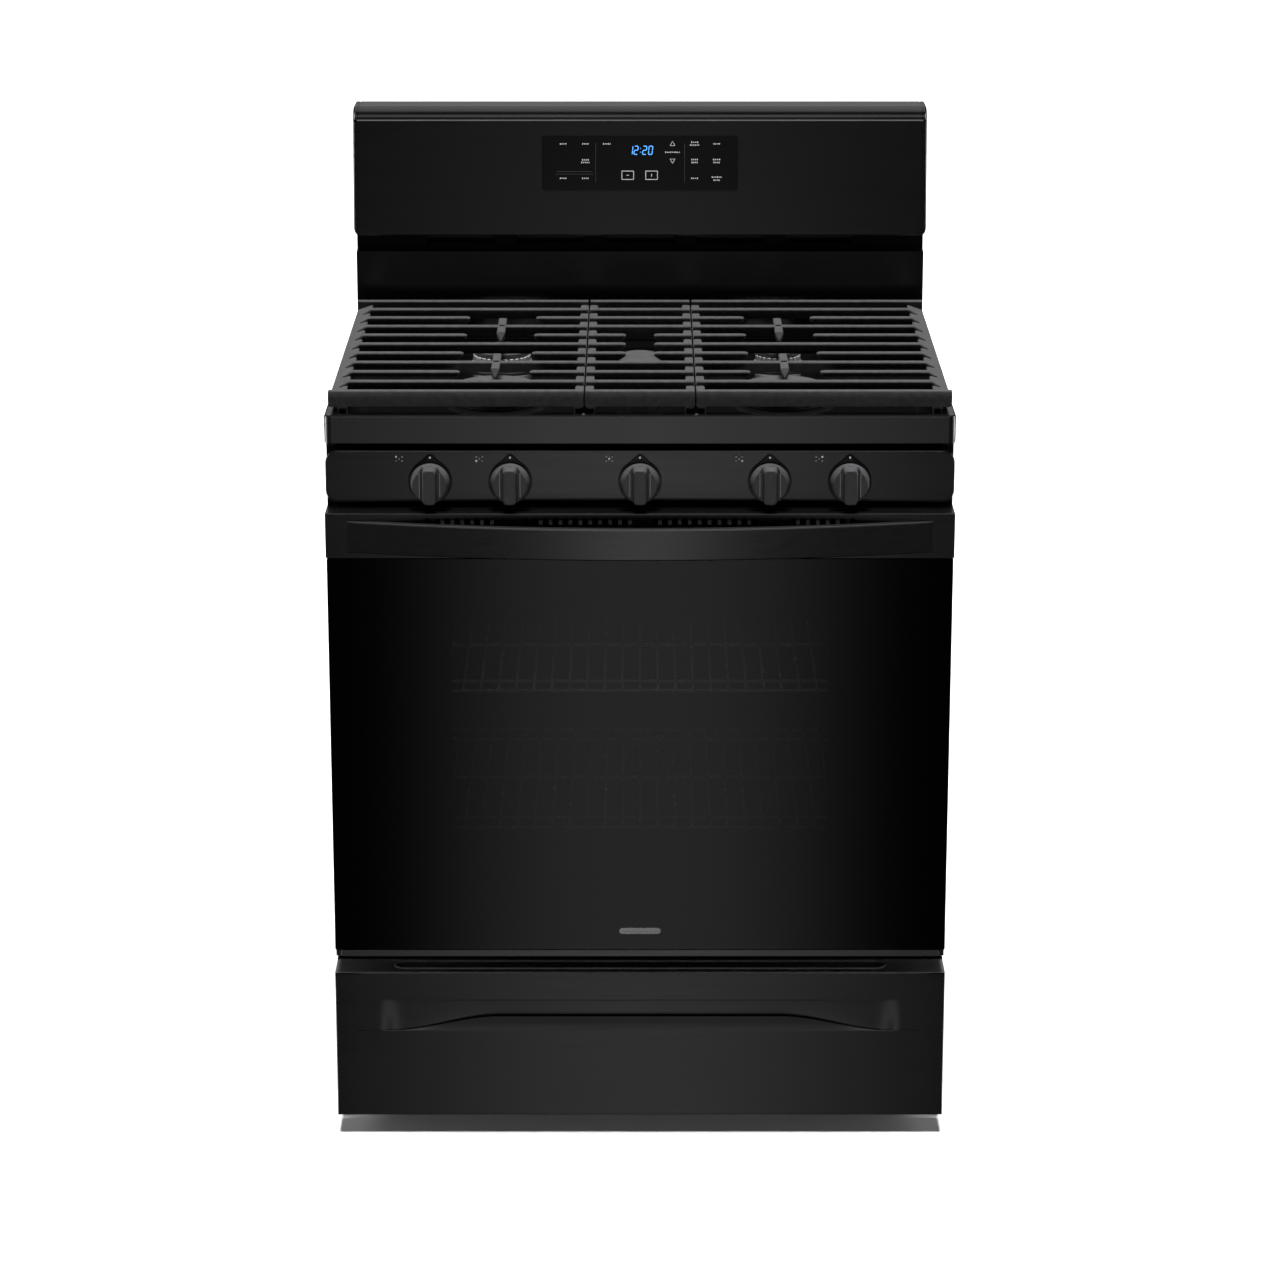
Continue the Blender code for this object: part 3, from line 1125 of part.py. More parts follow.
def side_grate(name, side):
    """Grate over the two burners of one side, made on the right and mirrored for the left."""
    inner = CENTRE_GRATE_WIDTH / 2 + GRATE_SPLIT / 2
    outer = GRATE_HALF
    grate = grate_bars((inner + OVERLAP, outer - 4 * OVERLAP), FULL_SIDE_BARS, BURNER_X, FINGER_GAP)
    join(grate, rail(inner, inner + INNER_RAIL_WIDTH))
    join(grate, rail(outer - OUTER_RAIL_WIDTH, outer, slope_high=RAIL_SLOPE))
    crosses = [
        ((BURNER_X - BAR_WIDTH / 2, bar_y(bar) - CROSS_PIECE / 2, GRATE_TOP - BAR_HEIGHT + OVERLAP),
         (BURNER_X + BAR_WIDTH / 2, bar_y(bar) + CROSS_PIECE / 2, GRATE_TOP - CLEARANCE))
        for bar in (3, 7)
    ]
    join(grate, blocks(crosses))
    well_edge = HALF - RIM_WIDTH - 2 * OVERLAP - GRATE_FOOT / 2
    join(grate, grate_feet((inner + INNER_RAIL_WIDTH / 2 + OVERLAP, well_edge)))
    if side < 0:
        copy = mirrored(grate)
        bpy.data.objects.remove(grate)
        grate = copy
    pivot = pivot_at("lift_" + name, (side * (inner + outer) / 2, bar_y(CENTRE_BAR), PAN_TOP))
    part(name, grate, CAST_IRON, pivot)


def centre_grate():
    half = CENTRE_GRATE_WIDTH / 2 - GRATE_SPLIT / 2 + CLEARANCE
    grate = grate_bars((-half + OVERLAP, half - OVERLAP), FULL_CENTRE_BARS, 0.0, CENTRE_FINGER_GAP)
    join(grate, rail(half - INNER_RAIL_WIDTH, half))
    join(grate, rail(-half, -half + INNER_RAIL_WIDTH))
    foot = half - INNER_RAIL_WIDTH / 2 - OVERLAP
    join(grate, grate_feet((-foot, foot)))
    pivot = pivot_at("lift_grate_centre", (0.0, bar_y(CENTRE_BAR), PAN_TOP))
    part("grate_centre", grate, CAST_IRON, pivot)


# ---- Backguard -------------------------------------------------------------------------------
def backguard_riser():
    """Lower backguard with the oven's flue slots in its recessed throat."""
    back = COVER_FRONT - CLEARANCE
    bottom = COOKTOP_HEIGHT + CLEARANCE
    throat_front = RISER_FRONT + THROAT_SETBACK
    top = CONSOLE_BOTTOM - CLEARANCE
    sheet = SHEET

    def profile(wall, foot):
        return [
            (RISER_FRONT + wall, foot), (back if not wall else back + THROUGH, foot),
            (back if not wall else back + THROUGH, top - wall), (throat_front + wall, top - wall),
            (throat_front + wall, RISER_TOP - wall), (RISER_FRONT + wall, RISER_TOP - wall),
        ]

    half = HALF - CLEARANCE
    riser = prism(profile(0.0, bottom), "X", -half, half)
    cut(riser, prism(profile(sheet, bottom - THROUGH), "X", -half + sheet, half - sheet))
    slot_low = (RISER_TOP + top - FLUE_SLOT_HEIGHT) / 2
    first = -(FLUE_SLOTS - 1) / 2 * FLUE_SLOT_PITCH
    slots = [
        rectangle((first + index * FLUE_SLOT_PITCH - FLUE_SLOT_LENGTH / 2, slot_low),
                  (first + index * FLUE_SLOT_PITCH + FLUE_SLOT_LENGTH / 2, slot_low + FLUE_SLOT_HEIGHT))
        for index in range(FLUE_SLOTS)
    ]
    cut(riser, prisms(slots, "Y", throat_front - sheet, throat_front + 2 * sheet))
    part("backguard_riser", riser, BLACK_STEEL)


def console_profile():
    """Side outline of the console, anticlockwise from its lower back corner."""
    back = COVER_FRONT - CLEARANCE
    face_top = (CONSOLE_FRONT + CONSOLE_LEAN, CONSOLE_BOTTOM + CONSOLE_FACE_HEIGHT)
    centre = (face_top[0] + CAP_RADIUS, CONSOLE_TOP - CAP_RADIUS)
    cap = [
        (centre[0] - CAP_RADIUS * math.cos(turn), centre[1] + CAP_RADIUS * math.sin(turn))
        for turn in (math.pi / 2 * step / CAP_STEPS for step in range(CAP_STEPS + 1))
    ]
    rear_top = [(back - CONSOLE_REAR_CHAMFER, CONSOLE_TOP), (back, CONSOLE_TOP - CONSOLE_REAR_CHAMFER)]
    return [(CONSOLE_FRONT, CONSOLE_BOTTOM)] + cap + rear_top + [(back, CONSOLE_BOTTOM)]


def backguard_console():
    """Leaning fascia with a rounded top, open at the back."""
    outline = console_profile()[::-1]
    console = prism(outline, "X", -HALF, HALF)
    inner = inset(outline, CONSOLE_SHEET)
    back = COVER_FRONT + THROUGH
    limit = COVER_FRONT - 2 * CONSOLE_SHEET
    inner = [(back if y > limit else y, z) for y, z in inner]
    cut(console, prism(inner, "X", -HALF + CONSOLE_SHEET, HALF - CONSOLE_SHEET))
    part("backguard_console", console, BLACK_STEEL)


def backguard_rear_cover():
    cover = centred(HALF - COVER_INSET, (COVER_FRONT, BACK),
                    (COOKTOP_HEIGHT + CLEARANCE, CONSOLE_TOP - COVER_DROP))
    part("backguard_rear_cover", cover, GALVANISED)


def control_overlay():
    """Touch overlay with the clock window, on the leaning fascia."""
    lean = math.atan2(CONSOLE_LEAN, CONSOLE_FACE_HEIGHT)
    plate = prism(rounded_rectangle((-OVERLAY_WIDTH / 2, OVERLAY_RISE - OVERLAY_HEIGHT / 2),
                                    (OVERLAY_WIDTH / 2, OVERLAY_RISE + OVERLAY_HEIGHT / 2), OVERLAY_CORNER),
                  "Y", -CLEARANCE - OVERLAY_THICKNESS, -CLEARANCE)
    place = Matrix.Translation((0.0, CONSOLE_FRONT, CONSOLE_BOTTOM))
    plate.data.transform(place @ Matrix.Rotation(-lean, 4, "X"))
    part("control_overlay", plate, BLACK_GLASS)


# ---- The range -------------------------------------------------------------------------------
def build():
    base_frame()
    leveling_legs()
    side_panels()
    rear_panel()
    cord_gland()

    oven_cavity()
    oven_insulation()
    oven_floor()
    oven_burner("bake_burner", CAVITY_BOTTOM + BAKE_BURNER_HEIGHT)
    oven_burner("broil_burner", CAVITY_TOP - BROIL_BURNER_DROP)
    oven_lamp()
    door_gasket()
    rack_front = FRAME_FRONT + RACK_FRONT_SPACE
    for name, height in zip(("oven_rack_lower", "oven_rack_upper"), RACK_HEIGHTS):
        oven_rack(name, height, pivot_at("slide_" + name, (0.0, rack_front, CAVITY_BOTTOM + height)))

    door_hinge()
    door(pivot_at("door_axis", PIVOT))
    drawer(pivot_at("drawer_slide", (0.0, DOOR_BACK, SLIDE_BOTTOM)))
    drawer_rail_frame()

    manifold_panel()
    gas_manifold()
    gas_supply()
    for name, x in zip(KNOB_NAMES, KNOB_X):
        knob_and_stem(name, x)

    cooktop()
    for name, values in ROUND_BURNERS.items():
        round_burner(name, *values)
    oval_burner()
    side_grate("grate_left", -1)
    side_grate("grate_right", 1)
    centre_grate()

    backguard_riser()
    backguard_console()
    backguard_rear_cover()
    control_overlay()


for old in list(bpy.data.objects):
    bpy.data.objects.remove(old)
build()
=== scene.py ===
from math import acos, atan2, cos, degrees, pi, radians, sin, sqrt

import bmesh
import bpy
from mathutils import Matrix, Vector


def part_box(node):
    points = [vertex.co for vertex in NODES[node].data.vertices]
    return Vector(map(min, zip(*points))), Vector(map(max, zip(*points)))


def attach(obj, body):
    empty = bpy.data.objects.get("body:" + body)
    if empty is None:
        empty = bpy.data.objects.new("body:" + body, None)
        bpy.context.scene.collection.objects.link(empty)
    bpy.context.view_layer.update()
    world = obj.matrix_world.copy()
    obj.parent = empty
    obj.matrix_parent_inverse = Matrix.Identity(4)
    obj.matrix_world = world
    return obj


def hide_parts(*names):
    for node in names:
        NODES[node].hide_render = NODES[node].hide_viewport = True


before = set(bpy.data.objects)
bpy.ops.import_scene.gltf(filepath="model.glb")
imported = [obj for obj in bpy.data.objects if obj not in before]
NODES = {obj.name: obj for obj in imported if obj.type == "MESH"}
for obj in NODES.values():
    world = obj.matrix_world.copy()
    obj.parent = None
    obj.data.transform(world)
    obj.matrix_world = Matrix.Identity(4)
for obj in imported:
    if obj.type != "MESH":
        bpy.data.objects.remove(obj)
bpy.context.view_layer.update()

# Looks of the freestanding gas range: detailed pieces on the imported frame, finishes, studio, camera.
# Metres, +Z up, the range faces -Y. Places come from the frame's boxes.

BURNERS = ("left_rear", "left_front", "centre", "right_front", "right_rear")
ROUND_BURNERS = ("left_rear", "left_front", "right_front", "right_rear")


def low(node):
    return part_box(node)[0]


def high(node):
    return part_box(node)[1]


# ---- Planes read from the frame --------------------------------------------------------------
HALF = high("cooktop").x
COOKTOP_FRONT = low("cooktop").y
RIM_TOP = high("cooktop").z
SKIRT_BOTTOM = low("cooktop").z
PAN_TOP = low("burner_base_left_front").z - 0.0003
GRATE_TOP = high("grate_left").z
PANEL_FRONT = low("manifold_panel").y
CONSOLE_LOW, CONSOLE_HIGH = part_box("backguard_console")
RISER_FRONT = low("backguard_riser").y
RISER_TOP = RIM_TOP + 0.0825      # above it lies the vent throat

# ---- Sizes of details ------------------------------------------------------------------------
RIM_WIDTH = 0.012
CONSOLE_LEAN = 0.024            # top of the console's face behind its lower edge
CONSOLE_FACE_HEIGHT = 0.15
CONSOLE_CAP_RADIUS = 0.017
BAR_COUNT = 11                  # cross bars of each grate
BAR_WIDTH = 0.011
BAR_HEIGHT = 0.013
SPLIT_SIDE_BARS = (2, 4, 6, 8)
SPLIT_CENTRE_BARS = (4, 5, 6)
BURNER_X = 0.178
GRIP_HALF = 0.322               # the drawer's grip recess
GRIP_LOW, GRIP_LIP, GRIP_HIGH = 0.1362, 0.159, 0.1774
VENT_GROUPS = ((0.018, 11), (0.1835, 7))
VENT_PITCH = 0.0119
GRATE_LOW, GRATE_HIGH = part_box("grate_left")
GRATE_SPLIT_X = -GRATE_HIGH.x
GRATE_OUTER_X = -GRATE_LOW.x
RAIL_TOP = GRATE_TOP - 0.0055
RAIL_BOTTOM = GRATE_TOP - 0.02
RAIL_WIDTH = 0.0105             # inner rails
OUTER_RAIL_WIDTH = 0.0205
FOOT_ROWS = (GRATE_LOW.y + 0.024, GRATE_HIGH.y - 0.024)
GLASS_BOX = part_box("door_inner_glass")
WINDOW_HALF, WINDOW_MARGIN = 0.2275, 0.016
OVERLAY_MIDDLE = 0.096          # overlay's middle up the console's face
OVERLAY_HALF, OVERLAY_TALL = 0.13, 0.036
FACE_LEAN = atan2(CONSOLE_LEAN, CONSOLE_FACE_HEIGHT)
BEZEL_RADIUS = 0.0262
STEM_HOLE = 0.0055
GRILLE_HALF = 0.26              # the recess with the door's vent slots
SLOT_HALF, SLOT_TALL = 0.0035, 0.01
SPLIT_GAP = 0.043               # from a burner's middle to a free bar end
CENTRE_GAP = 0.018
CROSS_REACH = 0.047             # half length of the bars along Y
CROSS_BARS = (3, 7)
CARD_STRENGTH = 0.46
CARD_DISTANCE = 3.2
FLOOR_HALF = 30.0
CAMERA_DISTANCE, CAMERA_HEIGHT = 4.7371, 2.0169
CAMERA_PITCH, CAMERA_LENS = 0.284, 114.05


# ---- Finishes --------------------------------------------------------------------------------
def shader_nodes(name):
    material = bpy.data.materials.new(name)
    material.use_nodes = True
    tree = material.node_tree
    return material, tree, tree.nodes.get("Principled BSDF")


def wired(tree, kind, *links, **values):
    """A node with links into its first sockets, and values on named sockets."""
    node = tree.nodes.new("ShaderNode" + kind)
    for index, source in enumerate(links):
        tree.links.new(source, node.inputs[index])
    for socket, value in values.items():
        node.inputs[socket.replace("_", " ")].default_value = value
    return node


def texture(tree, kind, scale, stretch=(1, 1, 1), **values):
    """A procedural texture in the piece's own coordinates."""
    place = wired(tree, "TexCoord")
    mapping = wired(tree, "Mapping", place.outputs["Object"], Scale=stretch)
    return wired(tree, kind, mapping.outputs["Vector"], Scale=scale, **values)


def own_axes(tree):
    """X, Y and Z of the piece's own coordinates."""
    return wired(tree, "SeparateXYZ", wired(tree, "TexCoord").outputs["Object"]).outputs


def remap(tree, source, first, last, from_first, from_last, shape="LINEAR"):
    """A value's span from_first to from_last mapped onto first to last."""
    node = wired(tree, "MapRange", source, From_Min=from_first, From_Max=from_last, To_Min=first, To_Max=last)
    node.interpolation_type = shape
    return node.outputs["Result"]


def spread(tree, source, target, first, last):
    """A texture's middle range mapped onto first to last at a socket."""
    tree.links.new(remap(tree, source, first, last, 0.3, 0.7), target)


def tint(tree, source, target, first, second):
    ramp = wired(tree, "ValToRGB", source)
    ramp.color_ramp.elements[0].position = 0.3
    ramp.color_ramp.elements[1].position = 0.7
    ramp.color_ramp.elements[0].color = (*first, 1.0)
    ramp.color_ramp.elements[1].color = (*second, 1.0)
    tree.links.new(ramp.outputs["Color"], target)


def roughen(tree, shader, source, strength, distance):
    bump = wired(tree, "Bump", Strength=strength, Distance=distance)
    tree.links.new(source, bump.inputs["Height"])
    tree.links.new(bump.outputs["Normal"], shader.inputs["Normal"])


def finish(name, colour, roughness, metallic=0.0, mottle=0.15, wear=0.05, cloud=18.0, stretch=(1, 1, 1),
           grain=0.0, grain_scale=900.0, grain_depth=0.0002, **sockets):
    """Mottled base colour, clouded roughness and a fine grain."""
    material, tree, shader = shader_nodes(name)
    clouds = texture(tree, "TexNoise", cloud, stretch, Detail=5.0)
    tint(tree, clouds.outputs["Fac"], shader.inputs["Base Color"],
         [c * (1 - mottle) for c in colour], [c * (1 + mottle) for c in colour])
    spread(tree, clouds.outputs["Fac"], shader.inputs["Roughness"], roughness - wear, roughness + wear)
    if grain:
        specks = texture(tree, "TexNoise", grain_scale, stretch, Detail=3.0)
        roughen(tree, shader, specks.outputs["Fac"], grain, grain_depth)
    shader.inputs["Metallic"].default_value = metallic
    for socket, value in sockets.items():
        shader.inputs[socket.replace("_", " ")].default_value = value
    material.diffuse_color = (*colour, 1.0)
    return material


def spangled(name, colour):
    """Zinc coating with its crystal pattern."""
    material, tree, shader = shader_nodes(name)
    crystals = texture(tree, "TexVoronoi", 130.0)
    tint(tree, crystals.outputs["Color"], shader.inputs["Base Color"],
         [c * 0.9 for c in colour], [c * 1.08 for c in colour])
    spread(tree, crystals.outputs["Color"], shader.inputs["Roughness"], 0.38, 0.5)
    shader.inputs["Metallic"].default_value = 0.9
    return material


def clear_glass(name, colour, roughness):
    material, tree, shader = shader_nodes(name)
    film = texture(tree, "TexNoise", 9.0, Detail=4.0)
    tint(tree, film.outputs["Fac"], shader.inputs["Base Color"], [c * 0.92 for c in colour], colour)
    spread(tree, film.outputs["Fac"], shader.inputs["Roughness"], roughness, roughness + 0.02)
    shader.inputs["Transmission Weight"].default_value = 1.0
    shader.inputs["IOR"].default_value = 1.5
    return material


def glowing(name, colour, strength):
    """Lit segments of the display, a little uneven."""
    material, tree, shader = shader_nodes(name)
    dots = texture(tree, "TexNoise", 700.0)
    tint(tree, dots.outputs["Fac"], shader.inputs["Emission Color"], [c * 0.8 for c in colour], colour)
    shader.inputs["Base Color"].default_value = (0.01, 0.02, 0.04, 1.0)
    shader.inputs["Emission Strength"].default_value = strength
    return material


COAT = dict(mottle=0.2, wear=0.02, cloud=7.0, stretch=(1, 30, 30))
BRUSHED = dict(COAT, grain=0.03, grain_scale=260.0)
MARK = dict(mottle=0.1, cloud=400.0)
ENAMEL = finish("gloss_enamel", (0.0022, 0.0022, 0.0024), 0.14, mottle=0.2, wear=0.03, cloud=6.0,
                grain=0.06, grain_scale=240.0)
SKIRT_ENAMEL = finish("skirt_enamel", (0.0035, 0.0035, 0.0037), 0.3, mottle=0.2, wear=0.02, cloud=6.0,
                      grain=0.03, grain_scale=240.0, Specular_IOR_Level=1.0, IOR=1.8)
SEAT_ENAMEL = finish("seat_enamel", (0.0022, 0.0022, 0.0024), 0.35, mottle=0.2, cloud=6.0,
                     Specular_IOR_Level=0.1)
OVEN_ENAMEL = finish("oven_enamel", (0.01, 0.01, 0.012), 0.22, mottle=0.3, cloud=14.0, grain=0.1,
                     grain_scale=350.0)
DARK_STEEL = finish("black_coated_steel", (0.003, 0.003, 0.0032), 0.24, Specular_IOR_Level=0.85, IOR=1.6,
                    **BRUSHED)
PANEL_STEEL = finish("panel_coated_steel", (0.003, 0.003, 0.0032), 0.24, Specular_IOR_Level=0.9, IOR=1.68,
                     **BRUSHED)
# Lighter colour for the upward-facing lower ramp of the drawer's grip: painted light from above on that ramp.
GRIP_RAMP_PAINTED_LIGHT = finish("grip_ramp_painted_light", (0.022, 0.022, 0.0225), 0.3, Specular_IOR_Level=0.85, IOR=1.6, **COAT)
HANDLE_FINISH = finish("handle_coat", (0.012, 0.012, 0.0125), 0.3, mottle=0.15, wear=0.03, cloud=9.0,
                       stretch=(1, 40, 40), grain=0.03, grain_scale=300.0, Specular_IOR_Level=1.0, IOR=1.8)
SIDE_PAINT = finish("side_paint", (0.01, 0.01, 0.011), 0.38, cloud=5.0, grain=0.35, grain_scale=420.0)
CAST_IRON = finish("cast_iron", (0.055, 0.055, 0.056), 0.62, mottle=0.18, wear=0.08, cloud=120.0,
                   grain=0.55, grain_scale=1100.0, grain_depth=0.0004, Specular_IOR_Level=0.15)
CAP_ENAMEL = finish("cap_enamel", (0.06, 0.06, 0.061), 0.5, mottle=0.12, wear=0.06, cloud=60.0, grain=0.25)
KNOB_FINISH = finish("knob_plastic", (0.06, 0.06, 0.062), 0.34, wear=0.04, cloud=40.0, grain=0.15,
                     grain_scale=800.0)
BEZEL = finish("bezel_gloss", (0.002, 0.002, 0.002), 0.15, wear=0.02, cloud=20.0)
FRIT = finish("glass_print", (0.0016, 0.0016, 0.0017), 0.8, mottle=0.2, cloud=90.0, Specular_IOR_Level=0.0)
BADGE = finish("badge_metal", (0.55, 0.55, 0.56), 0.28, 1.0, mottle=0.1, cloud=60.0, stretch=(1, 20, 1))
PRINT = finish("printed_mark", (0.85, 0.85, 0.86), 0.6, **MARK)
DIM_PRINT = finish("dim_printed_mark", (0.3, 0.3, 0.31), 0.6, **MARK)
FAINT_PRINT = finish("faint_printed_mark", (0.09, 0.09, 0.095), 0.6, **MARK)
OVERLAY_FILM = finish("overlay_film", (0.0024, 0.0024, 0.0026), 0.22, cloud=30.0, grain=0.05)
WINDOW_FILM = finish("display_window", (0.0004, 0.0005, 0.0008), 0.08, cloud=30.0)
ALUMINIUM = finish("cast_aluminium", (0.62, 0.62, 0.63), 0.3, 0.95, wear=0.08, cloud=90.0, grain=0.2,
                   grain_scale=700.0)
BURNER_SILVER = finish("burner_silver", (0.62, 0.62, 0.63), 0.32, 0.35, wear=0.06, cloud=90.0, grain=0.15,
                       grain_scale=700.0)
# Black burner finish; on the front round burners it is painted shade under the grates' front rail.
BURNER_BLACK = finish("burner_black", (0.006, 0.006, 0.006), 0.6, cloud=60.0, grain=0.3)
CHROME = finish("rack_chrome", (0.6, 0.6, 0.62), 0.24, 0.35, mottle=0.08, cloud=60.0)
BRASS = finish("gas_brass", (0.6, 0.43, 0.18), 0.34, 1.0, cloud=50.0, grain=0.15)
GALVANISED = spangled("galvanised_sheet", (0.42, 0.43, 0.44))
NYLON = finish("black_nylon", (0.018, 0.018, 0.019), 0.55, cloud=70.0, grain=0.3)
SEAL = finish("woven_seal", (0.065, 0.063, 0.06), 0.92, cloud=300.0, mottle=0.5, grain=0.9,
              grain_scale=500.0, grain_depth=0.001)
WOOL = finish("mineral_wool", (0.5, 0.43, 0.26), 0.95, cloud=120.0, mottle=0.35, stretch=(1, 6, 1),
              grain=1.0, grain_scale=260.0, grain_depth=0.003)
DOOR_GLASS = clear_glass("tinted_door_glass", (0.34, 0.34, 0.35), 0.0)
INNER_GLASS = clear_glass("inner_door_glass", (0.62, 0.62, 0.63), 0.0)
# Light grey half-metal strips: painted highlight lines along the console's top lip and beside each knob's
# blade.
PAINTED_HIGHLIGHT_EDGE = finish("painted_highlight_edge", (0.3, 0.3, 0.31), 0.35, 0.5, mottle=0.1, cloud=40.0,
                   stretch=(1, 20, 20))
VENT_RIB = finish("vent_rib", (0.16, 0.16, 0.16), 0.4, mottle=0.2, cloud=60.0)
FLANGE_PAINT = finish("flange_paint", (0.09, 0.09, 0.09), 0.5, mottle=0.35, cloud=260.0, grain=0.6)
SEGMENTS = glowing("display_segments", (0.1, 0.36, 1.0), 2.2)


def riser_finish():
    """Coated steel whose reflection is cut above the riser's top: painted shade in the vent throat."""
    material, tree, shader = shader_nodes("riser_coated_steel")
    clouds = texture(tree, "TexNoise", 7.0, (1, 30, 30), Detail=5.0)
    tint(tree, clouds.outputs["Fac"], shader.inputs["Base Color"], (0.006, 0.006, 0.006),
         (0.009, 0.009, 0.0095))
    step = 0.0005
    # Specular falls off above the riser's top: painted shade for the throat under the console.
    throat_shade = remap(tree, own_axes(tree)["Z"], 1.0, 0.05, RISER_TOP - step, RISER_TOP + step)
    tree.links.new(throat_shade, shader.inputs["Specular IOR Level"])
    shader.inputs["Roughness"].default_value = 0.24
    return material


RISER_STEEL = riser_finish()


# ---- Mesh tools ------------------------------------------------------------------------------
def placed(name, data):
    """New object of the scene for a mesh, a light or a camera."""
    obj = bpy.data.objects.new(name, data)
    bpy.context.scene.collection.objects.link(obj)
    return obj


def mesh_object(name, bm, material, sharp=35):
    bmesh.ops.recalc_face_normals(bm, faces=bm.faces)
    mesh = bpy.data.meshes.new(name)
    bm.to_mesh(mesh)
    bm.free()
    mesh.materials.append(material)
    mesh.shade_smooth()
    mesh.set_sharp_from_angle(angle=radians(sharp))
    return placed(name, mesh)


def bevelled(obj, width, segments=3, angle=30):
    bevel = obj.modifiers.new("Bevel", "BEVEL")
    bevel.width = width
    bevel.segments = segments
    bevel.limit_method = "ANGLE"
    bevel.angle_limit = radians(angle)
    bevel.harden_normals = True
    return obj


def applied(obj):
    """Bake an object's modifiers into its mesh."""
    depsgraph = bpy.context.evaluated_depsgraph_get()
    mesh = bpy.data.meshes.new_from_object(obj.evaluated_get(depsgraph))
    obj.modifiers.clear()
    obj.data = mesh
    return obj


def carved(target, cutter):
    boolean = target.modifiers.new("Cut", "BOOLEAN")
    boolean.operation = "DIFFERENCE"
    boolean.solver = "EXACT"
    boolean.object = cutter
    applied(target)
    bpy.data.objects.remove(cutter)
    target.data.shade_smooth()
    target.data.set_sharp_from_angle(angle=radians(30))
    return target


def merged(name, objects):
    """Objects joined into one mesh that keeps their materials."""
    bm = bmesh.new()
    materials = []
    for obj in objects:
        applied(obj)
        slots = [slot.material for slot in obj.material_slots]
        start = len(bm.faces)
        bm.from_mesh(obj.data)
        bm.faces.ensure_lookup_table()
        for face in bm.faces[start:]:
            material = slots[face.material_index]
            if material not in materials:
                materials.append(material)
            face.material_index = materials.index(material)
    mesh = bpy.data.meshes.new(name)
    bm.to_mesh(mesh)
    bm.free()
    for material in materials:
        mesh.materials.append(material)
    for obj in objects:
        bpy.data.objects.remove(obj)
    return placed(name, mesh)


def piece(obj, body, slot, *nodes):
    """Hang a finished piece on its body and hide the CAD nodes that it stands for."""
    normals = obj.modifiers.new("Normals", "WEIGHTED_NORMAL")
    normals.keep_sharp = True
    normals.weight = 90
    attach(obj, body)
    if nodes:
        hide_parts(*nodes)
    return obj


def rounded(lo, hi, radius, steps=5):
    points = []
    centres = (
        (hi[0] - radius, hi[1] - radius), (lo[0] + radius, hi[1] - radius),
        (lo[0] + radius, lo[1] + radius), (hi[0] - radius, lo[1] + radius),
    )
    for corner, (x, y) in enumerate(centres):
        for step in range(steps + 1):
            turn = pi / 2 * (corner + step / steps)
            points.append((x + radius * cos(turn), y + radius * sin(turn)))
    return points


PLACES = {
    "X": lambda point, along: (along, point[0], point[1]),
    "Y": lambda point, along: (point[0], along, point[1]),
    "Z": lambda point, along: (point[0], point[1], along),
}


def add_loft(bm, rings, capped=True):
    """Skin rings of equally many points, with a face over each end."""
    loops = [[bm.verts.new(point) for point in ring] for ring in rings]
    for first, second in zip(loops, loops[1:]):
        for index in range(len(first)):
            bm.faces.new((first[index - 1], first[index], second[index], second[index - 1]))
    if capped:
        bm.faces.new(loops[0])
        bm.faces.new(loops[-1])


def loft(name, rings, material, sharp=35):
    bm = bmesh.new()
    add_loft(bm, rings)
    return mesh_object(name, bm, material, sharp)


def plate(name, outline, axis, start, end, material):
    """An outline extruded along an axis."""
    place = PLACES[axis]
    return loft(name, [[place(point, along) for point in outline] for along in (start, end)], material)


def slab(name, lo, hi, material):
    """Box, for cutters and for bevelled bars."""
    return plate(name, [(lo[0], lo[1]), (hi[0], lo[1]), (hi[0], hi[1]),
                        (lo[0], hi[1])], "Z", lo[2], hi[2], material)


def pill(x, z, half_x, half_z, radius, steps):
    """Rounded rectangle round its middle."""
    return rounded((x - half_x, z - half_z), (x + half_x, z + half_z), radius, steps)


def plates(name, outlines, axis, start, end, material):
    bm = bmesh.new()
    place = PLACES[axis]
    for outline in outlines:
        add_loft(bm, [[place(point, along) for point in outline] for along in (start, end)])
    return mesh_object(name, bm, material)


def circle(middle, radius, count=24):
    turns = [2 * pi * index / count for index in range(count)]
    return [(middle[0] + radius * cos(turn), middle[1] + radius * sin(turn)) for turn in turns]


def turned(name, profile, material, place=(0, 0, 0), count=64, facing_front=False):
    """(radius, height) points turned about Z, or about -Y for pieces that face the front."""
    bm = bmesh.new()
    rings = []
    for radius, height in profile:
        rings.append([(radius * cos(t), radius * sin(t), height)
                      for t in (2 * pi * index / count for index in range(count))])
    add_loft(bm, rings)
    obj = mesh_object(name, bm, material, 28)
    turn = Matrix.Rotation(pi / 2, 4, "X") if facing_front else Matrix()
    obj.data.transform(Matrix.Translation(place) @ turn)
    return obj


def add_tube(bm, path, radius, sides=10):
    points = [Vector(point) for point in path]
    last = len(points) - 1
    tangents = [(points[min(i + 1, last)] - points[max(i - 1, 0)]).normalized() for i in range(last + 1)]
    side = tangents[0].orthogonal().normalized()
    rings = []
    for point, tangent in zip(points, tangents):
        side = (side - tangent * side.dot(tangent)).normalized()
        across = tangent.cross(side)
        turns = [2 * pi * index / sides for index in range(sides)]
        rings.append([point + (side * cos(t) + across * sin(t)) * radius for t in turns])
    add_loft(bm, rings)


def arc(centre, radius, start, end, steps):
    """Points of an arc, its angles in degrees."""
    turns = [radians(start + (end - start) * step / steps) for step in range(steps + 1)]
    return [(centre[0] + radius * cos(t), centre[1] + radius * sin(t)) for t in turns]


def eased(value):
    value = min(max(value, 0.0), 1.0)
    return value * value * (3 - 2 * value)


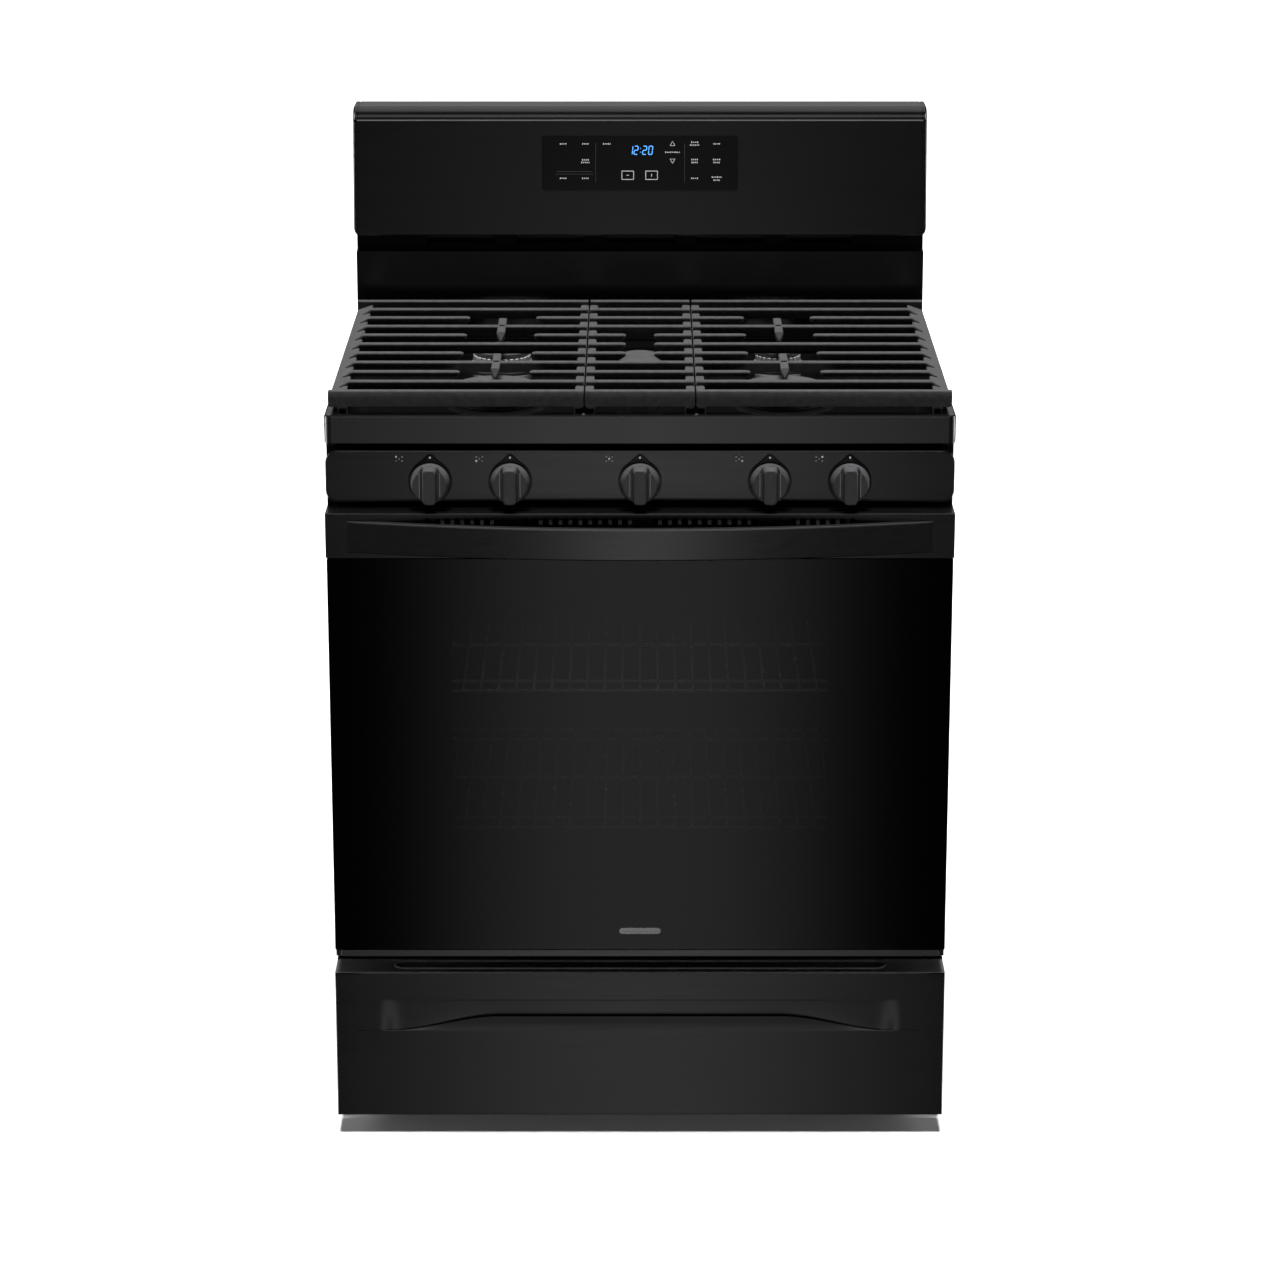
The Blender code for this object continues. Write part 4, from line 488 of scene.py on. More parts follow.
# ---- Cooktop ---------------------------------------------------------------------------------
def cooktop():
    """Pressed top: rounded skirt, rim, sunken well with a raised seat round each burner."""
    back = high("cooktop").y
    rear_deck = back - RISER_FRONT + 0.003
    corner = 0.009
    sections = [(0.004, 0.004, PAN_TOP - 0.0022), (0.0035, 0.0035, SKIRT_BOTTOM + 0.0005),
                (0.001, 0.001, SKIRT_BOTTOM), (0.0, 0.0, SKIRT_BOTTOM + 0.0012)]
    edge = 0.003
    sections += [(edge - r, edge - r, z) for r, z in arc((0, RIM_TOP - edge), edge, 0, 90, 6)]
    well_edge = 0.0025
    for reach, z in arc((-well_edge, RIM_TOP - well_edge), well_edge, 90, 0, 5):
        sections.append((RIM_WIDTH + reach, rear_deck + reach, z))
    fillet = 0.007
    for reach, z in arc((RIM_WIDTH + 0.0015 + fillet, PAN_TOP + fillet), fillet, 180, 270, 5):
        sections.append((reach, reach + rear_deck - RIM_WIDTH, z))
    rings = []
    for inset, back_inset, z in sections:
        radius = max(corner - inset, 0.0015) if inset < RIM_WIDTH - 0.003 else 0.018
        outline = rounded((-HALF + inset, COOKTOP_FRONT + inset), (HALF - inset, back - back_inset),
                          radius, 6)
        rings.append([(x, y, z) for x, y in outline])
    shell = loft("cooktop_shell", rings, ENAMEL, 40)
    shell.data.materials.append(SKIRT_ENAMEL)
    for face in shell.data.polygons:
        face.material_index = int(abs(face.normal.z) < 0.6 and face.center.y < COOKTOP_FRONT + 0.004)
    seats = []
    for name in ROUND_BURNERS:
        lo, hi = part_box("burner_base_" + name)
        radius = (hi.x - lo.x) / 2
        profile = [(radius - 0.001, 0), (radius + 0.016, 0), (radius + 0.014, 0.0012),
                   (radius + 0.009, 0.0019), (radius + 0.002, 0.0016), (radius - 0.001, 0.0008)]
        centre = (lo + hi) / 2
        seats.append(turned("seat", profile, SEAT_ENAMEL, (centre.x, centre.y, PAN_TOP - 0.0002), 48))
    pins = []
    for x in (-GRATE_SPLIT_X, GRATE_SPLIT_X):
        dome = [(0.0022, 0.0), (0.0021, 0.0008), (0.0014, 0.0016), (0.0001, 0.0019)]
        pins.append(turned("pin", dome, ALUMINIUM, (x, COOKTOP_FRONT + 0.0055, RIM_TOP - 0.0002), 14))
    piece(merged("cooktop_top", [shell] + seats + pins), "root", "black_enamel", "cooktop")


# ---- Burners ---------------------------------------------------------------------------------
def toothed(radius, depth, count, duty=0.62):
    """Ring outline with a notch for each flame port."""
    points = []
    pitch = 2 * pi / count
    for index in range(count):
        for share, reach in ((0.0, radius), (duty, radius), (duty + 0.02, radius - depth),
                             (0.98, radius - depth)):
            turn = pitch * (index + share)
            points.append((reach * cos(turn), reach * sin(turn)))
    return points


def round_burner(name):
    base_low, base_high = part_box("burner_base_" + name)
    cap_low, cap_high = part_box("burner_cap_" + name)
    centre = (base_low + base_high) / 2
    place = (centre.x, centre.y, 0.0)
    flange = (base_high.x - base_low.x) / 2
    wall = flange - 0.004
    bottom, top = base_low.z, base_high.z
    # Front bases take the black finish as painted shade under the grates' front rail; rear bases keep the
    # silver.
    finish_with_painted_shade = BURNER_BLACK if name.endswith("front") else BURNER_SILVER
    body = turned("body", [
        (0.004, bottom), (flange - 0.001, bottom), (flange, bottom + 0.001), (flange, bottom + 0.0028),
        (flange - 0.001, bottom + 0.004), (wall + 0.001, bottom + 0.0052), (wall, bottom + 0.0066),
        (wall, top - 0.0078), (wall - 0.0022, top - 0.0068), (wall - 0.006, top - 0.0062),
        (0.004, top - 0.006),
    ], finish_with_painted_shade, place)
    count = int(wall * 1000 * 0.8)
    outline = [(x + centre.x, y + centre.y) for x, y in toothed(wall - 0.0012, 0.005, count)]
    crown = bevelled(plate("crown", outline, "Z", top - 0.0075, top, finish_with_painted_shade), 0.0003, 1)
    piece(merged("burner_" + name, [body, crown]), "root", "aluminium", "burner_base_" + name)

    radius = (cap_high.x - cap_low.x) / 2
    bottom, top = cap_low.z, cap_high.z
    cap = turned("burner_lid_" + name, [
        (radius * 0.35, bottom + 0.0004), (radius - 0.0035, bottom), (radius - 0.0012, bottom + 0.0009),
        (radius, bottom + 0.0028), (radius - 0.0002, bottom + 0.0052), (radius - 0.0014, bottom + 0.007),
        (radius - 0.004, top - 0.0022), (radius - 0.009, top - 0.0009), (radius * 0.6, top - 0.0003),
        (radius * 0.3, top - 0.0001), (0.0005, top),
    ], CAP_ENAMEL, place)
    piece(cap, "cap_" + name, "cast_iron", "burner_cap_" + name)


def oval_burner():
    base_low, base_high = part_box("burner_base_centre")
    cap_low, cap_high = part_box("burner_cap_centre")

    def stadium(lo, hi, shrink, z):
        half = (hi.x - lo.x) / 2 - shrink
        outline = rounded((-half, lo.y + shrink), (half, hi.y - shrink), half * 0.999, 12)
        return [(x, y, z) for x, y in outline]

    bottom, top = base_low.z, base_high.z
    levels = [(0.0, bottom), (0.0, bottom + 0.003), (0.002, bottom + 0.0045), (0.003, bottom + 0.006),
              (0.003, top - 0.004), (0.0065, top - 0.0035), (0.0065, top)]
    base = loft("burner_centre", [stadium(base_low, base_high, s, z) for s, z in levels], BURNER_BLACK, 30)
    piece(base, "root", "aluminium", "burner_base_centre")

    bottom, top = cap_low.z, cap_high.z
    levels = [(0.003, bottom), (0.0008, bottom + 0.0008), (0.0, bottom + 0.0022), (0.0004, bottom + 0.0048),
              (0.002, bottom + 0.007), (0.005, top - 0.0012), (0.011, top - 0.0004), (0.018, top)]
    cap = loft("burner_lid_centre", [stadium(cap_low, cap_high, s, z) for s, z in levels], CAP_ENAMEL, 50)
    piece(cap, "cap_centre", "cast_iron", "burner_cap_centre")


# ---- Grates ----------------------------------------------------------------------------------
def bar_y(index):
    first, last = GRATE_LOW.y + BAR_WIDTH / 2, GRATE_HIGH.y - BAR_WIDTH / 2
    return first + (last - first) * index / (BAR_COUNT - 1)


def bar_ring(axis, along, middle, half, bottom, top):
    """Cross-section of a cast bar: rounded top edges, drafted sides."""
    soft = min(0.0017, (top - bottom) / 3, half / 2)
    section = [
        (-half * 0.62, bottom), (half * 0.62, bottom), (half * 0.8, bottom + soft),
        (half, top - soft * 1.3), (half - soft * 0.35, top - soft * 0.4), (half - soft * 1.1, top),
        (-half + soft * 1.1, top), (-half + soft * 0.35, top - soft * 0.4), (-half, top - soft * 1.3),
        (-half * 0.8, bottom + soft),
    ]
    if axis == "X":
        return [(along, middle + across, z) for across, z in section]
    return [(middle + across, along, z) for across, z in section]


def add_bar(bm, axis, middle, stations):
    """A bar along an axis, from stations of (place, half width, bottom, top)."""
    add_loft(bm, [bar_ring(axis, along, middle, half, bottom, top) for along, half, bottom, top in stations])


def finger_tip(end, inward):
    """Stations of a free bar end, undercut towards its tip."""
    half = BAR_WIDTH / 2
    return [
        (end, half * 0.55, GRATE_TOP - 0.0042, GRATE_TOP - 0.0012),
        (end + inward * 0.0015, half * 0.85, GRATE_TOP - 0.0058, GRATE_TOP - 0.0003),
        (end + inward * 0.005, half, GRATE_TOP - 0.008, GRATE_TOP),
        (end + inward * 0.014, half, GRATE_TOP - BAR_HEIGHT, GRATE_TOP),
    ]


def rail_end(edge, inward):
    """Stations of a bar that runs up onto an inner rail."""
    half = BAR_WIDTH / 2
    return [
        (edge, half * 0.9, RAIL_BOTTOM + 0.004, GRATE_TOP - 0.0004),
        (edge + inward * 0.0012, half, RAIL_BOTTOM + 0.003, GRATE_TOP),
    ]


def outer_wedge(edge, inward):
    """Stations of a bar that tapers to a point on the sloping outer rail."""
    half = BAR_WIDTH / 2
    return [
        (edge, half * 0.1, RAIL_TOP - 0.006, RAIL_TOP - 0.002),
        (edge + inward * 0.005, half * 0.5, RAIL_TOP - 0.006, RAIL_TOP + 0.0014),
        (edge + inward * 0.0095, half, RAIL_TOP - 0.006, GRATE_TOP - 0.0008),
        (edge + inward * 0.012, half, RAIL_TOP - 0.006, GRATE_TOP),
        (edge + inward * 0.015, half, GRATE_TOP - BAR_HEIGHT, GRATE_TOP),
    ]


def add_end_bar(bm, low_x, high_x, y, front):
    """Front or rear rail of a grate: flat face with a chamfer below."""
    near, far = (-1, 1) if front else (1, -1)
    half = BAR_WIDTH / 2
    section = [
        (near * (half - 0.0016), GRATE_TOP - 0.0018), (near * (half - 0.002), GRATE_TOP - 0.0006),
        (near * (half - 0.003), GRATE_TOP),
        (far * (half - 0.0014), GRATE_TOP), (far * half, GRATE_TOP - 0.0014),
        (far * (half - 0.001), RAIL_BOTTOM),
        (near * (half - 0.005), RAIL_BOTTOM), (near * half, GRATE_TOP - 0.0125),
    ]
    middle_z = (GRATE_TOP + RAIL_BOTTOM) / 2
    soft = 0.001
    rings = []
    for x, shrink in ((low_x, soft), (low_x + soft, 0.0), (high_x - soft, 0.0), (high_x, soft)):
        rings.append([(x, y + across * (1 - shrink / half),
                       middle_z + (z - middle_z) * (1 - shrink / 0.01)) for across, z in section])
    add_loft(bm, rings)


def add_rail(bm, low_x, high_x, fall=0.0):
    """Side rail along Y, its top falling towards high_x."""
    y_low, y_high = GRATE_LOW.y + 0.002, GRATE_HIGH.y - 0.002
    outward = 1 if high_x > low_x else -1
    edge = 0.0016 * outward
    section = [
        (low_x + edge, RAIL_BOTTOM), (high_x - edge * 2, RAIL_BOTTOM), (high_x, RAIL_BOTTOM + 0.003),
        (high_x, RAIL_TOP - fall - 0.0012), (high_x - edge, RAIL_TOP - fall), (low_x + edge, RAIL_TOP),
        (low_x, RAIL_TOP - 0.0012), (low_x, RAIL_BOTTOM + 0.002),
    ]
    add_loft(bm, [[(x, y, z) for x, z in section] for y in (y_low, y_high)])


def add_foot(bm, x, y):
    """Tapered foot from a rail down to the well."""
    bottom = PAN_TOP + 0.0004
    levels = ((bottom, 0.004), (bottom + 0.0012, 0.005), (bottom + 0.012, 0.0054),
              (RAIL_BOTTOM + 0.002, 0.006))
    add_loft(bm, [[(px, py, z) for px, py in pill(x, y, half, half, half * 0.45, 3)] for z, half in levels])


def side_grate(side):
    bm = bmesh.new()
    inner, outer, half = GRATE_SPLIT_X, GRATE_OUTER_X, BAR_WIDTH / 2
    for index in range(1, BAR_COUNT - 1):
        y = bar_y(index)
        start = rail_end(inner + 0.0005, 1)
        end = outer_wedge(outer - 0.01, -1)[::-1]
        if index in SPLIT_SIDE_BARS:
            add_bar(bm, "X", y, start + finger_tip(BURNER_X - SPLIT_GAP, -1)[::-1])
            add_bar(bm, "X", y, finger_tip(BURNER_X + SPLIT_GAP, 1) + end)
        else:
            full = [(inner + 0.012, half, GRATE_TOP - BAR_HEIGHT, GRATE_TOP)]
            add_bar(bm, "X", y, start + full + end)
    add_end_bar(bm, inner, outer, bar_y(0), True)
    add_end_bar(bm, inner, outer, bar_y(BAR_COUNT - 1), False)
    add_rail(bm, inner, inner + RAIL_WIDTH)
    add_rail(bm, outer - OUTER_RAIL_WIDTH, outer, 0.006)
    for index in CROSS_BARS:
        near, far = bar_y(index) - CROSS_REACH, bar_y(index) + CROSS_REACH
        add_bar(bm, "Y", BURNER_X, [
            (near, half * 0.1, GRATE_TOP - 0.0125, GRATE_TOP - 0.0095),
            (near + 0.0042, half * 0.7, GRATE_TOP - 0.012, GRATE_TOP - 0.0035),
            (near + 0.0065, half, GRATE_TOP - 0.011, GRATE_TOP),
            (near + 0.018, half, GRATE_TOP - BAR_HEIGHT, GRATE_TOP),
            (far - 0.012, half, GRATE_TOP - BAR_HEIGHT, GRATE_TOP),
            (far - 0.0015, half, GRATE_TOP - 0.007, GRATE_TOP),
            (far, half * 0.8, GRATE_TOP - 0.006, GRATE_TOP - 0.0012),
        ])
    for y in FOOT_ROWS:
        add_foot(bm, inner + 0.00625, y)
        add_foot(bm, HALF - RIM_WIDTH - 0.009, y)
    name = "left" if side < 0 else "right"
    obj = mesh_object("grate_casting_" + name, bm, CAST_IRON, 42)
    if side < 0:
        obj.data.transform(Matrix.Scale(-1, 4, (1, 0, 0)))
        obj.data.flip_normals()
    piece(obj, "grate_" + name, "cast_iron", "grate_" + name)


def centre_grate():
    bm = bmesh.new()
    half_width = high("grate_centre").x
    for index in range(1, BAR_COUNT - 1):
        y = bar_y(index)
        start = rail_end(-half_width + 0.0005, 1)
        end = rail_end(half_width - 0.0005, -1)[::-1]
        if index in SPLIT_CENTRE_BARS:
            add_bar(bm, "X", y, start + finger_tip(-CENTRE_GAP, -1)[::-1])
            add_bar(bm, "X", y, finger_tip(CENTRE_GAP, 1) + end)
        else:
            add_bar(bm, "X", y, start + end)
    add_end_bar(bm, -half_width, half_width, bar_y(0), True)
    add_end_bar(bm, -half_width, half_width, bar_y(BAR_COUNT - 1), False)
    for side in (-1, 1):
        add_rail(bm, side * (half_width - RAIL_WIDTH), side * half_width)
        for y in FOOT_ROWS:
            add_foot(bm, side * (half_width - 0.00625), y)
    obj = mesh_object("grate_casting_centre", bm, CAST_IRON, 42)
    piece(obj, "grate_centre", "cast_iron", "grate_centre")


# ---- Knob panel and knobs --------------------------------------------------------------------
def panel_outline(inset):
    """Panel outline with rounded ends and a faintly arched bottom edge."""
    lo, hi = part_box("manifold_panel")
    x, bottom, top, radius = hi.x - inset, lo.z + inset, hi.z - inset, 0.015 - inset
    outline = arc((x - radius, bottom + radius), radius, -90, 0, 6)
    outline += arc((x - radius, top - radius), radius, 0, 90, 6)
    outline += arc((-x + radius, top - radius), radius, 90, 180, 6)
    outline += arc((-x + radius, bottom + radius), radius, 180, 270, 6)
    span = x - radius
    arch = 0.0024
    outline += [(span * t, bottom + arch * (1 - t * t)) for t in (step / 8 for step in range(-7, 8))]
    return outline


def control_panel():
    front, back = PANEL_FRONT, high("manifold_panel").y
    edge = 0.0022
    rings = []
    for inset, y in arc((edge, front + edge), edge, 180, 270, 4) + [
            (0.0, back), (0.0025, back), (0.0025, front + 0.003)]:
        rings.append([(x, y, z) for x, z in panel_outline(inset)])
    panel = loft("control_panel", rings, PANEL_STEEL, 40)
    holes = [circle(knob_centre(name), STEM_HOLE) for name in BURNERS]
    carved(panel, plates("holes", holes, "Y", front - 0.01, front + 0.01, PANEL_STEEL))
    piece(panel, "root", "black_steel", "manifold_panel")


# Which dot of the 2 x 2 + centre burner icon is lit, as (across, up).
LIT_DOT = {"left_rear": (-1, 1), "left_front": (-1, -1), "centre": (0, 0), "right_front": (1, -1),
           "right_rear": (1, 1)}


def knob_centre(name):
    lo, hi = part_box("knob_" + name)
    return (lo.x + hi.x) / 2, (lo.z + hi.z) / 2


def panel_marks(name):
    """Burner icon beside a knob, and the dot on its bezel."""
    x, z = knob_centre(name)
    marks = []
    for dot in ((-1, 1), (1, 1), (0, 0), (-1, -1), (1, -1)):
        lit = dot == LIT_DOT[name]
        middle = (x - 0.037 + dot[0] * 0.0036, z + 0.0283 + dot[1] * 0.0024)
        spot = circle(middle, 0.00125 if lit else 0.001, 14)
        marks.append(plate("dot", spot, "Y", PANEL_FRONT - 0.00025, PANEL_FRONT + 0.0002,
                           PRINT if lit else DIM_PRINT))
    bezel_dot = circle((x, z + 0.03), 0.0012, 14)
    marks.append(plate("dot", bezel_dot, "Y", PANEL_FRONT - 0.00125, PANEL_FRONT - 0.0008, PRINT))
    piece(merged("panel_marks_" + name, marks), "root", "knob")


def bezel(name):
    """Teardrop plate behind a knob, with its peak above it."""
    x, z = knob_centre(name)
    outline = arc((0, 0), BEZEL_RADIUS, 128, 412, 40)
    flank = [Vector(outline[-1]), Vector((0.0075, 0.0265)), Vector((0.0042, 0.0326)), Vector((0.0, 0.0336))]
    for step in range(1, 9):
        t = step / 8
        point = (flank[0] * (1 - t) ** 3 + flank[1] * 3 * t * (1 - t) ** 2
                 + flank[2] * 3 * t * t * (1 - t) + flank[3] * t ** 3)
        outline.append(tuple(point))
    outline += [(-px, pz) for px, pz in outline[-2:-9:-1]]
    outline = [(x + px, z + pz) for px, pz in outline]
    ring = plate("bezel_" + name, outline, "Y", PANEL_FRONT - 0.001, PANEL_FRONT - 0.0001, BEZEL)
    hole = plate("hole", circle((x, z), STEM_HOLE), "Y", PANEL_FRONT - 0.01, PANEL_FRONT + 0.01, BEZEL)
    piece(carved(applied(bevelled(ring, 0.0004, 2)), hole), "root", "knob")


def knob(name):
    """Round knob with a raised blade between two flat-sided shoulders."""
    x, z = knob_centre(name)
    lo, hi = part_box("knob_" + name)
    radius = (hi.x - lo.x) / 2
    back = hi.y
    tip = back - lo.y
    skirt = turned("skirt", [
        (0.0045, 0.0), (radius - 0.0012, 0.0), (radius - 0.0002, 0.0008), (radius, 0.002),
        (radius - 0.0004, 0.0068), (radius - 0.0014, 0.0086), (radius - 0.003, 0.0094), (0.0045, 0.0096),
    ], KNOB_FINISH, (x, back, z), 96, True)

    def crescent(side, inner, outer, y):
        limit = degrees(acos(inner / outer))
        return [(x + side * px, y, z + pz) for px, pz in arc((0, 0), outer, -limit, limit, 16)]

    shoulders = []
    for side in (-1, 1):
        rings = [crescent(side, inner, outer, back - depth) for depth, inner, outer in (
            (0.0085, 0.0105, radius - 0.0012), (0.0118, 0.0107, radius - 0.0018),
            (0.0128, 0.0112, radius - 0.0026), (0.0142, 0.013, radius - 0.0044))]
        shoulders.append(loft("shoulder", rings, KNOB_FINISH, 25))

    def blade(half_x, half_z, y):
        return [(px, y, pz) for px, pz in pill(x, z, half_x, half_z, 0.0045, 6)]

    rings = [blade(hx, hz, back - depth) for depth, hx, hz in (
        (0.008, 0.0092, 0.0222), (0.013, 0.0088, 0.0221), (tip - 0.0022, 0.008, 0.0216),
        (tip - 0.0009, 0.0077, 0.0213), (tip - 0.0002, 0.007, 0.0206), (tip, 0.0061, 0.0197))]
    grip = loft("blade", rings, KNOB_FINISH, 35)
    # Light grey strips at the inner edges of the shoulders: painted highlight lines.
    edges = []
    for side in (-1, 1):
        highlight_bar = pill(x + side * 0.0122, z, 0.0006, 0.015, 0.0005, 2)
        edges.append(plate("edge", highlight_bar, "Y", back - 0.01415, back - 0.0128, PAINTED_HIGHLIGHT_EDGE))
    line = slab("line", (x - 0.0005, lo.y - 0.00015, z + 0.004), (x + 0.0005, lo.y + 0.0003, z + 0.015),
                FAINT_PRINT)
    bevelled(line, 0.0001, 1)
    marks = []
    for offset, width in ((-0.004, 0.0022), (0.0, 0.0016), (0.004, 0.0022)):
        spot = pill(x + offset, z + 0.0209, width, 0.0006, 0.0005, 2)
        marks.append(plate("mark", spot, "Y", back - 0.0099, back - 0.0094,
                           PRINT if offset == 0 else DIM_PRINT))
    whole = merged("knob_cap_" + name, [skirt] + shoulders + [grip, line] + edges + marks)
    piece(whole, "knob_" + name, "knob", "knob_" + name)


# ---- Door ------------------------------------------------------------------------------------
def door_glass():
    lo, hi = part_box("door_outer_glass")
    front = lo.y
    edge = 0.001
    rings = []
    for y, inset in ((hi.y - 0.0005, edge), (hi.y - 0.0009, 0.0), (front + edge, 0.0),
                     (front + edge * 0.3, edge * 0.3), (front, edge)):
        outline = rounded((lo.x + inset, lo.z + inset), (hi.x - inset, hi.z - inset), 0.002, 3)
        rings.append([(x, y, z) for x, z in outline])
    piece(loft("door_glass", rings, DOOR_GLASS, 5), "door", "door_glass", "door_outer_glass")
    bottom, top = GLASS_BOX[0].z + WINDOW_MARGIN, GLASS_BOX[1].z - WINDOW_MARGIN
    border = rounded((lo.x + 0.001, lo.z + 0.001), (hi.x - 0.001, hi.z - 0.001), 0.002, 3)
    opening = rounded((-WINDOW_HALF, bottom), (WINDOW_HALF, top), 0.012, 6)
    frame_plate = plate("glass_print", border, "Y", hi.y - 0.0004, hi.y, FRIT)
    piece(carved(frame_plate, plate("hole", opening, "Y", front, hi.y + 0.01, FRIT)), "door", "door_glass")
    dots = []
    count = 90
    for row in range(3):
        inset = 0.0022 + row * 0.0026
        size = 0.0009 - row * 0.0002
        reach = WINDOW_HALF - 0.012
        for z in (bottom + inset, top - inset):
            for index in range(count + 1):
                x = 2 * reach * (index + 0.5 * (row % 2)) / count - reach
                dots.append(circle((x, z), size, 6))
    piece(plates("glass_print_dots", dots, "Y", hi.y - 0.0004, hi.y - 0.0001, FRIT), "door", "door_glass")
    z = lo.z + 0.0255
    badge = plate("badge", pill(0.0, z, 0.026, 0.0042, 0.0041, 8), "Y", front - 0.0012, front - 0.0001,
                  BADGE)
    groove = plate("groove", pill(0.0, z, 0.0225, 0.0012, 0.0011, 4), "Y", front - 0.002, front - 0.0007,
                   BADGE)
    piece(carved(applied(bevelled(badge, 0.0005, 2)), groove), "door", "aluminium")


def door_bottom_trim():
    """Polished strip under the glass."""
    lo = low("door_outer_glass")
    bottom = low("door_frame").z
    outline = rounded((-HALF + 0.0094, bottom + 0.0003), (HALF - 0.0094, lo.z - 0.0003), 0.0015, 3)
    strip = plate("door_bottom_strip", outline, "Y", lo.y + 0.0006, lo.y + 0.006, HANDLE_FINISH)
    piece(bevelled(strip, 0.0005, 2), "door", "black_steel")


def door_trim():
    lo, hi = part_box("door_top_trim")
    front, back, top = lo.y, hi.y, hi.z
    edge = 0.0022

    def section(x, inset):
        """Outline across the cap: front face with a rounded top edge."""
        points = [(front + inset, lo.z)]
        points += arc((front + edge, top - inset - edge), edge, 180, 90, 4)
        points += [(back - 0.001, top - inset), (back, top - 0.001 - inset), (back, lo.z),
                   (back - 0.0025, lo.z), (back - 0.0025, top - 0.0028), (front + 0.0028, top - 0.0028),
                   (front + 0.0028, lo.z)]
        return [(x, y, z) for y, z in points]

    half = hi.x
    rings = [section(x, inset) for x, inset in ((-half, 0.0008), (-half + 0.0009, 0.0),
                                                (half - 0.0009, 0.0), (half, 0.0008))]
    cap = loft("door_cap", rings, DARK_STEEL, 40)
    vent_top = top - 0.0063
    groove = [rounded((-GRILLE_HALF, vent_top - 0.0113), (GRILLE_HALF, vent_top + 0.0012), 0.0061, 6)]
    carved(cap, plates("groove", groove, "Y", front - 0.01, front + 0.0009, DARK_STEEL))
    slots = []
    for start, count in VENT_GROUPS:
        for index in range(count):
            for side in (-1, 1):
                x = side * (start + index * VENT_PITCH)
                slots.append(rounded((x - SLOT_HALF, vent_top - SLOT_TALL), (x + SLOT_HALF, vent_top),
                                     0.003, 3))
    carved(cap, plates("slots", slots, "Y", front - 0.01, front + 0.006, DARK_STEEL))
    ribs = [rounded((x - 0.0004, vent_top - 0.0075), (x + 0.0042, vent_top - 0.002), 0.0008, 2)
            for x in rib_edges()]
    ribs = plates("ribs", ribs, "Y", front + 0.0004, front + 0.0026, VENT_RIB)
    piece(merged("door_vents", [cap, ribs]), "door", "black_steel", "door_top_trim")


def rib_edges():
    """Left edge of the rib beside each vent slot."""
    return [side * (start + index * VENT_PITCH) + VENT_PITCH / 2 - 0.0019
            for start, count in VENT_GROUPS for index in range(count - 1) for side in (-1, 1)]


def door_handle():
    """Bowed flat bar with rounded long edges and squared ends."""
    lo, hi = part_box("door_handle")
    seat, apex, half = hi.y, lo.y, hi.x
    bottom, top = lo.z, hi.z
    bow = seat - 0.003 - apex
    radius = (half ** 2 + bow ** 2) / (2 * bow)
    thickness, edge, steps = 0.0115, 0.0028, 64
    rings = []
    for step in range(steps + 1):
        x = -half + 2 * half * step / steps
        front = apex + radius - sqrt(radius ** 2 - x ** 2)
        rear = min(front + thickness, seat)
        ease = min(edge, (rear - front) / 2.2)
        section = arc((front + ease, top - ease), ease, 180, 90, 4)
        section += arc((rear - ease, top - ease), ease, 90, 0, 3)
        section += arc((rear - ease, bottom + ease), ease, 0, -90, 3)
        section += arc((front + ease, bottom + ease), ease, 270, 180, 4)
        rings.append([(x, y, z) for y, z in section])
    piece(loft("handle_bar", rings, HANDLE_FINISH, 40), "door", "black_steel", "door_handle")


# ---- Drawer ----------------------------------------------------------------------------------
def grip_rows(x):
    """(height, depth) of the drawer's face from bottom to top at one x, grip recess included."""
    end = eased((abs(x) - 0.175) / (GRIP_HALF - 0.012 - 0.175))
    fade = 1 - eased((abs(x) - GRIP_HALF + 0.022) / 0.022)
    lip = GRIP_LIP + (GRIP_LOW + 0.0008 - GRIP_LIP) * end
    pocket = 0.0105 * (1 - end) * fade
    ramp = 0.0026 * fade
    rows = [(GRIP_LOW - 0.0006, 0.0), (GRIP_LOW, 0.0003 * fade)]
    for share in (0.12, 0.3, 0.5, 0.72):
        rows.append((GRIP_LOW + (lip - GRIP_LOW) * share, pocket * share * 0.62 / 0.72 + ramp * share * 0.6))
    rows.append((GRIP_LOW + (lip - GRIP_LOW) * 0.78, pocket + ramp))
    rows.append((lip - 0.0004, pocket + ramp))
    rows.append((lip, ramp + 0.0004))
    rows.append((lip + 0.0008, ramp))
    for share in (0.25, 0.5, 0.75, 0.93):
        rows.append((lip + (GRIP_HIGH - lip) * share, ramp * (1 - 0.75 * share)))
    rows.append((GRIP_HIGH, ramp * 0.12))
    rows.append((GRIP_HIGH + 0.0008, 0.0))
    return rows


